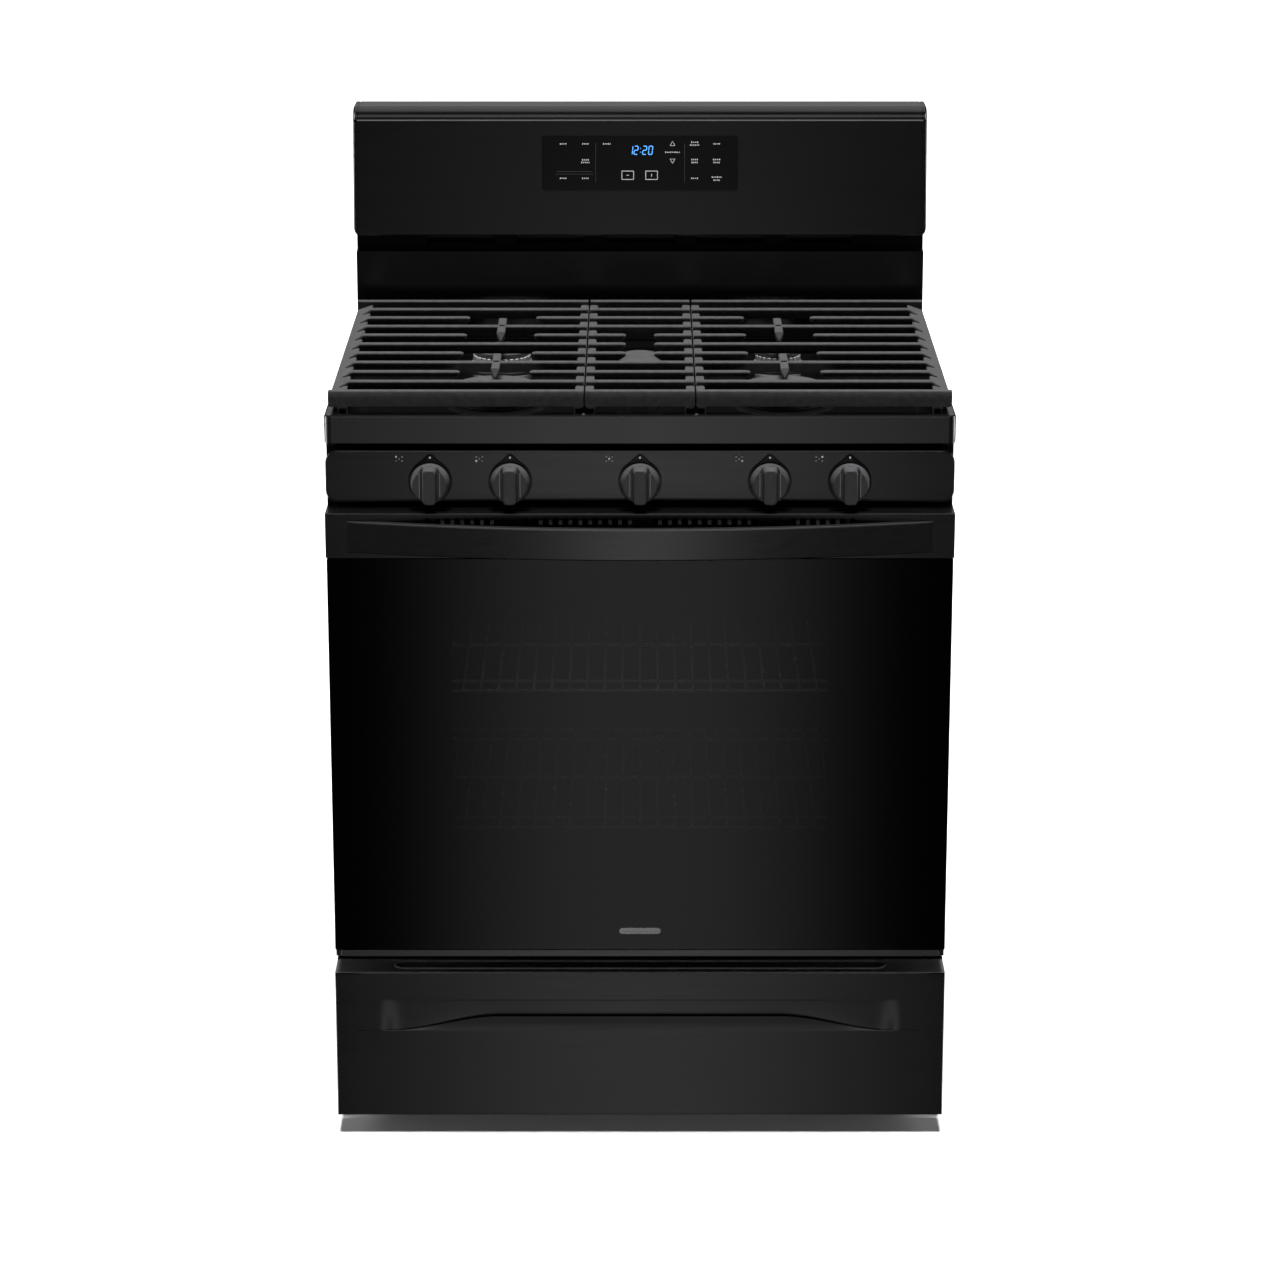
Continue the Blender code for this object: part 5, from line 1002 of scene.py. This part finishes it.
def drawer_front():
    lo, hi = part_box("drawer_front")
    front, back = lo.y, hi.y
    half, bottom, top = hi.x, lo.z, hi.z
    edge = 0.0024
    columns = sorted({round(side * value, 6) for side in (-1, 1) for value in
                      [half - edge, 0.345, 0.335, 0.328, 0.324, 0.32, 0.316, 0.311, 0.305, 0.298]
                      + [0.29 - 0.0075 * step for step in range(16)] + [0.165, 0.12, 0.06, 0.0]})
    bm = bmesh.new()
    grid = []
    for x in columns:
        rows = [(bottom + edge, 0.0), (bottom + 0.03, 0.0), (bottom + 0.07, 0.0)] + grip_rows(x)
        rows += [(top - 0.02, 0.0), (top - edge, 0.0)]
        grid.append([bm.verts.new((x, front + depth, z)) for z, depth in rows])
    for first, second in zip(grid, grid[1:]):
        for index in range(len(first) - 1):
            bm.faces.new((first[index], first[index + 1], second[index + 1], second[index]))
    border = [column[0] for column in grid] + grid[-1][1:]
    border += [column[-1] for column in grid[-2::-1]] + grid[0][-2:0:-1]

    def pushed(value, low_edge, high_edge, out):
        """The value, moved outwards where it lies on either edge."""
        if value > high_edge - 1e-5:
            return value + out
        return value - out if value < low_edge + 1e-5 else value

    rings = [border]
    for out, y in arc((0.0, front + edge), edge, -90, 0, 4)[1:] + [
            (edge, back), (edge - 0.0013, back), (edge - 0.0013, front + 0.0165)]:
        rings.append([bm.verts.new((pushed(vert.co.x, edge - half, half - edge, out), y,
                                    pushed(vert.co.z, bottom + edge, top - edge, out))) for vert in border])
    for first, second in zip(rings, rings[1:]):
        for index in range(len(first)):
            bm.faces.new((first[index - 1], first[index], second[index], second[index - 1]))
    bm.faces.new(rings[-1])
    shell = mesh_object("drawer_shell", bm, DARK_STEEL, 50)
    shell.data.materials.append(FLANGE_PAINT)
    shell.data.materials.append(GRIP_RAMP_PAINTED_LIGHT)
    for face in shell.data.polygons:
        face.material_index = int(face.normal.z > 0.9 and face.center.z > top - 0.001)
        # Upward-facing faces of the grip's lower ramp take the lighter colour: painted light from above.
        in_grip = GRIP_LOW < face.center.z < GRIP_LIP and face.center.y < front + 0.02
        if in_grip and 0.15 < face.normal.z < 0.9:
            face.material_index = 2
    bead = bmesh.new()
    middle = (front + back) / 2 + 0.004
    outline = rounded((-0.304, middle - 0.0125), (0.304, middle + 0.0125), 0.012, 8)
    path = [(x, y, top - 0.0004) for x, y in outline]
    add_tube(bead, path + path[:2], 0.0022, 10)
    ridge = mesh_object("bead", bead, FLANGE_PAINT)
    piece(merged("drawer_face", [shell, ridge]), "drawer", "black_steel", "drawer_front")


# ---- Oven racks ------------------------------------------------------------------------------
def oven_rack(name):
    """Bent-wire rack: edge frame, cross rods and long wires."""
    lo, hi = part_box("oven_rack_" + name)
    rod, wire, radius = 0.0029, 0.0019, 0.02
    z = lo.z + rod
    bm = bmesh.new()
    outline = rounded((lo.x + rod, lo.y + rod), (hi.x - rod, hi.y - rod), radius, 5)
    add_tube(bm, [(x, y, z) for x, y in outline] + [(*outline[0], z), (*outline[1], z)], rod)
    for y in (lo.y + 0.045, (lo.y + hi.y) / 2, hi.y - 0.045):
        add_tube(bm, [(lo.x + rod, y, z), (hi.x - rod, y, z)], rod * 0.85, 8)
    pitch = 0.022
    count = int((hi.x - 0.012) / pitch)
    for index in range(-count, count + 1):
        x = index * pitch
        top = hi.z - wire
        add_tube(bm, [(x, lo.y + rod, z), (x, lo.y + rod + 0.003, top), (x, hi.y - rod - 0.003, top),
                      (x, hi.y - rod, z)], wire, 8)
    obj = mesh_object("wire_rack_" + name, bm, CHROME, 40)
    piece(obj, "rack_" + name, "chrome", "oven_rack_" + name)


# ---- Backguard -------------------------------------------------------------------------------
def console_outline(inset=0.0, rise=0.0):
    """Side outline from the lower front edge over the cap to the lower back edge."""
    front, back = CONSOLE_LOW.y + inset, CONSOLE_HIGH.y
    bottom, top = CONSOLE_LOW.z + rise, CONSOLE_HIGH.z - inset
    face_top = (front + CONSOLE_LEAN, CONSOLE_LOW.z + CONSOLE_FACE_HEIGHT)
    share = rise / CONSOLE_FACE_HEIGHT
    start = (front + CONSOLE_LEAN * share, bottom)
    soft = 0.0022
    points = [(start[0] + soft * 1.6, bottom), (start[0] + soft * 0.5, bottom + soft * 0.25),
              (start[0] + 0.0002, bottom + soft)]
    points += [(face_top[0] - 0.0003, face_top[1] - 0.0012), (face_top[0] + 0.0007, face_top[1] - 0.0004),
               (face_top[0] - 0.0004, face_top[1] + 0.0008)]
    centre = (face_top[0] + CONSOLE_CAP_RADIUS, top - CONSOLE_CAP_RADIUS)
    points += arc(centre, CONSOLE_CAP_RADIUS, 176, 90, 10)
    points += [(back - 0.006, top), (back - 0.002, top - 0.002), (back, top - 0.006), (back, bottom)]
    return points


def console():
    stations = [(0.0, 0.003, 0.009), (0.0006, 0.0016, 0.0066), (0.0014, 0.0007, 0.0046),
                (0.0026, 0.0, 0.0026), (0.0042, 0.0, 0.0009), (0.0058, 0.0, 0.0002),
                (0.0062, 0.0007, 0.0002), (0.0068, 0.0007, 0.0), (0.0072, 0.0, 0.0)]
    rings = [[(-HALF + across, y, z) for y, z in console_outline(inset, rise)]
             for across, inset, rise in stations]
    rings += [[(HALF - across, y, z) for y, z in console_outline(inset, rise)]
              for across, inset, rise in reversed(stations)]
    piece(loft("console_shell", rings, DARK_STEEL, 32), "root", "black_steel", "backguard_console")
    y, z = CONSOLE_LOW.y + CONSOLE_LEAN, CONSOLE_LOW.z + CONSOLE_FACE_HEIGHT
    # Real lip along the top of the console's face, coloured light grey as a painted highlight line.
    painted_highlight_lip = slab("console_lip_painted_highlight", (-HALF + 0.0055, y - 0.0007, z - 0.001),
                (HALF - 0.0055, y + 0.001, z + 0.0007), PAINTED_HIGHLIGHT_EDGE)
    piece(bevelled(painted_highlight_lip, 0.0004, 2), "root", "black_steel")


def on_face(obj):
    """Move marks made flat round the overlay's middle onto the leaning face."""
    place = Matrix.Translation((0.0, CONSOLE_LOW.y, CONSOLE_LOW.z)) @ Matrix.Rotation(-FACE_LEAN, 4, "X")
    obj.data.transform(place @ Matrix.Translation((0.0, 0.0, OVERLAY_MIDDLE)))
    return obj


def bar_mark(x, z, width, height):
    return pill(x, z, width / 2, height / 2, min(width, height) * 0.45, 2)


def box_lines(x, z, width, height, line):
    """Outline box drawn as four strips."""
    return [bar_mark(x, z + side * height / 2, width + line, line) for side in (-1, 1)] + \
           [bar_mark(x + side * width / 2, z, line, height) for side in (-1, 1)]


def triangle_lines(x, z, size, direction, line=0.0006):
    """Open triangle drawn as three thin strips."""
    base = z - direction * size * 0.7
    corners = [(x - size, base), (x + size, base), (x, z + direction * size)]
    strips = []
    for (ax, az), (bx, bz) in zip(corners, corners[1:] + corners[:1]):
        run = Vector((bx - ax, bz - az)).normalized()
        side = Vector((-run.y, run.x)) * line / 2
        strips.append([(ax + side.x, az + side.y), (bx + side.x, bz + side.y), (bx - side.x, bz - side.y),
                       (ax - side.x, az - side.y)])
    return strips


SEGMENTS_LIT = {"0": "abcdef", "1": "bc", "2": "abged"}


def digit(x, z, width, height, character):
    """Seven-segment digit as leaning strips."""
    line, gap = 0.0011, 0.0006
    upright = height / 2 - gap
    places = {
        "a": (0, height / 2, width, line), "g": (0, 0, width, line), "d": (0, -height / 2, width, line),
        "b": (width / 2, height / 4, line, upright), "c": (width / 2, -height / 4, line, upright),
        "f": (-width / 2, height / 4, line, upright), "e": (-width / 2, -height / 4, line, upright),
    }
    strips = []
    for segment in SEGMENTS_LIT[character]:
        dx, dz, wide, tall = places[segment]
        strip = bar_mark(x + dx, z + dz, wide - gap if wide > line else wide, tall)
        strips.append([(px + (pz - z) * 0.1, pz) for px, pz in strip])
    return strips


def overlay():
    """Touch overlay: film, clock window, lit time and plain marks for its keys."""
    face = -0.0005

    def printed(name, outlines, material):
        return plates(name, outlines, "Y", face - 0.00012, face + 0.0001, material)

    film = plate("film", pill(0.0, 0.0, OVERLAY_HALF, OVERLAY_TALL, 0.004, 6), "Y", face, face + 0.0008,
                 OVERLAY_FILM)
    window = printed("window", [rounded((-0.0285, 0.002), (0.0285, 0.031), 0.002, 4)], WINDOW_FILM)
    digits = []
    for x, character in ((-0.0122, "1"), (-0.0052, "2"), (0.0062, "2"), (0.014, "0")):
        digits += digit(x, 0.0168, 0.0048, 0.0108, character)
    digits += [bar_mark(0.0006, 0.0168 + side * 0.0024, 0.0011, 0.0011) for side in (-1, 1)]
    lit = plates("digits", digits, "Y", face - 0.00022, face - 0.0001, SEGMENTS)
    labels = []
    for x, z, wide in ((-0.1016, 0.0252, 0.0094), (-0.0723, 0.0252, 0.009), (-0.0438, 0.0252, 0.011),
                       (-0.0723, 0.0042, 0.01), (-0.0723, 0.0008, 0.0118), (-0.1016, -0.02, 0.0094),
                       (-0.0723, -0.02, 0.0094), (0.0721, 0.0274, 0.0104), (0.0721, 0.0236, 0.013),
                       (0.1013, 0.0252, 0.0094), (0.0721, 0.0046, 0.0096), (0.0721, 0.0008, 0.0088),
                       (0.1013, 0.0046, 0.0104), (0.1013, 0.0008, 0.0088), (0.0721, -0.02, 0.01),
                       (0.1013, -0.0184, 0.0138), (0.1013, -0.0224, 0.009), (0.043, 0.0142, 0.0205)):
        count = max(int(wide / 0.0021), 2)
        pitch = wide / count
        for index in range(count):
            middle = x - wide / 2 + pitch * (index + 0.5)
            labels.append(bar_mark(middle, z, pitch * 0.62, 0.0017 if index % 3 else 0.0022))
    labels += triangle_lines(0.043, 0.0252, 0.0033, 1) + triangle_lines(0.043, 0.003, 0.0033, -1)
    for x in (-0.0162, 0.0153):
        labels += box_lines(x, -0.016, 0.0155, 0.011, 0.0009)
    labels += [bar_mark(-0.0162, -0.016, 0.0036, 0.0009), bar_mark(0.0153, -0.016, 0.0009, 0.0036)]
    rules = [bar_mark(-0.0586, 0.0, 0.0004, 0.052), bar_mark(0.059, 0.0, 0.0004, 0.052)]
    rules += [bar_mark(-0.087, -0.0145, 0.05, 0.0004)]
    rules += [bar_mark(-0.087 + 0.0022 * index, -0.0112, 0.0012, 0.001) for index in range(-10, 11)]
    marks = [printed("labels", labels, PRINT), printed("rules", rules, FAINT_PRINT)]
    whole = on_face(merged("touch_overlay", [film, window, lit] + marks))
    piece(whole, "root", "overlay", "control_overlay")


# ---- Fixings and feet ------------------------------------------------------------------------
def screws():
    """Pan-head screws round the rear cover and the rear panel."""
    cover_low, cover_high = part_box("backguard_rear_cover")
    panel_low, panel_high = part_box("rear_panel")
    places = [(x, cover_high.y, z) for z in (cover_low.z + 0.012, cover_high.z - 0.012)
              for x in (cover_low.x + 0.02, -0.18, 0.0, 0.18, cover_high.x - 0.02)]
    places = [(x, y - 0.0018, z) for x, y, z in places]
    places += [(x, panel_high.y, z) for z in (panel_low.z + 0.03, 0.32, 0.6, panel_high.z - 0.02)
               for x in (panel_low.x + 0.014, panel_high.x - 0.014)]
    heads = []
    for place in places:
        head = turned("head", [(0.0042, -0.0002), (0.0042, 0.0006), (0.0034, 0.0014), (0.0018, 0.0018),
                               (0.0016, 0.0009), (0.0002, 0.0009)], ALUMINIUM, (0, 0, 0), 18)
        head.data.transform(Matrix.Translation(place) @ Matrix.Rotation(-pi / 2, 4, "X"))
        heads.append(head)
    piece(merged("rear_screws", heads), "root", "aluminium")


def leveling_leg(name):
    """Hex-headed foot on a threaded stud."""
    lo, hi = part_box("leveling_leg_" + name)
    centre = (lo + hi) / 2
    radius = (hi.x - lo.x) / 2
    pad = turned("pad", [(0.003, 0.0), (radius - 0.002, 0.0), (radius - 0.0004, 0.001), (radius, 0.0024),
                         (radius - 0.0006, 0.0052), (radius - 0.003, 0.0068), (0.009, 0.0078),
                         (0.003, 0.008)], NYLON, (centre.x, centre.y, 0), 40)
    flats = circle((centre.x, centre.y), 0.0102, 6)
    hexagon = bevelled(plate("hexagon", flats, "Z", 0.0076, 0.016, NYLON), 0.0006, 2)
    thread = [(0.003, 0.016)]
    for turn in range(8):
        z = 0.0164 + turn * 0.0016
        thread += [(0.0043, z), (0.0049, z + 0.0008)]
    thread += [(0.0043, 0.0292), (0.003, 0.0296)]
    stud = turned("stud", thread, ALUMINIUM, (centre.x, centre.y, 0), 20)
    piece(merged("foot_" + name, [pad, hexagon, stud]), "root", "nylon", "leveling_leg_" + name)


# ---- Finishes of the CAD pieces that stay ----------------------------------------------------
def carry(material, width, *nodes):
    """Give a CAD node that stays its finish and, where it has free edges, a fine bevel."""
    for name in nodes:
        node = NODES[name]
        for slot in node.material_slots:
            slot.material = material
        if width:
            bevelled(node, width, 2, 40)


def carried_nodes():
    carry(SIDE_PAINT, 0.0005, "side_panel_left", "side_panel_right", "base_frame")
    carry(RISER_STEEL, 0.0006, "backguard_riser")
    carry(DARK_STEEL, 0.0004, "door_frame")
    carry(OVEN_ENAMEL, 0.0, "oven_cavity")
    carry(OVEN_ENAMEL, 0.0005, "oven_floor", "door_liner")
    carry(GALVANISED, 0.0, "rear_panel", "drawer_pan", "drawer_rail_frame")
    carry(DARK_STEEL, 0.0006, "backguard_rear_cover")
    carry(GALVANISED, 0.0, "door_hinge_left", "door_hinge_right")
    carry(WOOL, 0.0, "oven_insulation")
    carry(SEAL, 0.0015, "door_gasket")
    carry(ALUMINIUM, 0.0, "bake_burner", "broil_burner")
    carry(ALUMINIUM, 0.0006, "gas_manifold")
    carry(ALUMINIUM, 0.0, *["valve_stem_" + name for name in BURNERS])
    carry(BRASS, 0.0006, "gas_supply")
    carry(NYLON, 0.0, "cord_gland")
    carry(INNER_GLASS, 0.0, "door_inner_glass", "oven_lamp")


# ---- Studio ----------------------------------------------------------------------------------
def emitter(name, size, place, target, power, **rays):
    """Soft area light aimed at a point."""
    light = bpy.data.lights.new(name, "AREA")
    light.shape = "RECTANGLE"
    light.size, light.size_y = size
    light.energy = power
    obj = placed(name, light)
    obj.location = place
    obj.rotation_euler = (Vector(target) - Vector(place)).to_track_quat("-Z", "Y").to_euler()
    obj.visible_camera = False
    obj.visible_transmission = False
    for ray, shown in rays.items():
        setattr(obj, "visible_" + ray, shown)


def hide_from(obj, *rays):
    for ray in rays:
        setattr(obj, "visible_" + ray, False)


def gradient_card():
    """Glow card in front of the range, bright in the middle, which only reflections see."""
    y = COOKTOP_FRONT - CARD_DISTANCE
    half, bottom, top = 1.15, -4.0, 2.6
    corners = ((-half, y, bottom), (half, y, bottom), (half, y, top), (-half, y, top))
    bm = bmesh.new()
    bm.faces.new([bm.verts.new(corner) for corner in corners])
    material, tree = shader_nodes("card_glow")[:2]
    tree.nodes.clear()
    axes = own_axes(tree)
    across = wired(tree, "Math", axes["X"])
    across.operation = "ABSOLUTE"
    side = remap(tree, across.outputs[0], CARD_STRENGTH, 0.02 * CARD_STRENGTH, 0.0, 0.66, "SMOOTHERSTEP")
    upright = remap(tree, axes["Z"], 1.0, 0.2, 0.3, 2.3, "SMOOTHSTEP")
    both = wired(tree, "Math", side, upright)
    both.operation = "MULTIPLY"
    glow = wired(tree, "Emission")
    tree.links.new(both.outputs[0], glow.inputs["Strength"])
    wired(tree, "OutputMaterial", glow.outputs["Emission"])
    card = mesh_object("studio_card", bm, material)
    hide_from(card, "camera", "diffuse", "transmission", "volume_scatter", "shadow")


def studio():
    reach = FLOOR_HALF
    corners = ((-reach, -reach), (reach, -reach), (reach, reach), (-reach, reach))
    bm = bmesh.new()
    bm.faces.new([bm.verts.new((x, y, 0.0)) for x, y in corners])
    pale = finish("pale_floor", (0.86, 0.86, 0.86), 0.9, mottle=0.01, cloud=2.0)
    floor = mesh_object("studio_floor", bm, pale)
    hide_from(floor, "glossy", "diffuse", "transmission", "shadow")
    gradient_card()

    daylight = bpy.data.lights.new("ceiling", "SUN")
    daylight.energy = 8.0
    daylight.angle = radians(18)
    hide_from(placed("ceiling", daylight), "glossy", "transmission")

    emitter("overhead", (4.0, 3.0), (0.0, 0.9, 3.6), (0.0, 0.2, 1.0), 22.0, diffuse=False)
    emitter("behind", (4.0, 3.0), (0.0, 4.0, 3.0), (0.0, 0.2, 1.2), 14.0, diffuse=False)
    emitter("front_top", (1.6, 1.0), (0.0, -2.6, 2.9), (0.0, -0.3, 0.5), 4.5, diffuse=False)
    emitter("front_fill", (1.2, 0.4), (0.0, -4.3, 0.45), (0.0, 0.0, 0.7), 45.0, glossy=False)
    emitter("left_strip", (0.7, 5.2), (-3.4, 0.3, 0.2), (-0.3, 0.3, 0.2), 90.0)
    emitter("right_strip", (0.7, 5.2), (3.4, 0.3, 0.2), (0.3, 0.3, 0.2), 75.0)
    oven_top = (0.0, low("oven_cavity").y + 0.03, high("oven_rack_upper").z + 0.17)
    emitter("oven_glow", (0.5, 0.12), oven_top, (0.0, 0.05, 0.45), 0.16, glossy=False)

    world = bpy.data.worlds.new("studio")
    bpy.context.scene.world = world
    world.use_nodes = True
    tree = world.node_tree
    tree.nodes.clear()
    ray = wired(tree, "LightPath").outputs["Is Camera Ray"]
    backdrop = wired(tree, "Background", Color=(1.0, 1.0, 1.0, 1.0), Strength=1.1)
    room = wired(tree, "Background", Color=(0.012, 0.012, 0.012, 1.0))
    pick = wired(tree, "MixShader", ray, room.outputs["Background"], backdrop.outputs["Background"])
    wired(tree, "OutputWorld", pick.outputs["Shader"])
    bpy.context.scene.view_settings.view_transform = "Standard"


def camera():
    data = bpy.data.cameras.new("camera")
    data.sensor_width = 36.0
    data.lens = CAMERA_LENS
    obj = placed("camera", data)
    obj.location = (0.0, COOKTOP_FRONT - CAMERA_DISTANCE, CAMERA_HEIGHT)
    obj.rotation_euler = (pi / 2 - CAMERA_PITCH, 0.0, 0.0)
    bpy.context.scene.camera = obj


# ---- The range -------------------------------------------------------------------------------
camera()
studio()
cooktop()
for burner in ROUND_BURNERS:
    round_burner(burner)
oval_burner()
side_grate(-1)
side_grate(1)
centre_grate()
control_panel()
for burner in BURNERS:
    bezel(burner)
    panel_marks(burner)
    knob(burner)
door_glass()
door_bottom_trim()
door_trim()
door_handle()
drawer_front()
for level in ("lower", "upper"):
    oven_rack(level)
console()
overlay()
screws()
for corner_name in ("left_front", "left_rear", "right_front", "right_rear"):
    leveling_leg(corner_name)
carried_nodes()

bpy.context.view_layer.update()
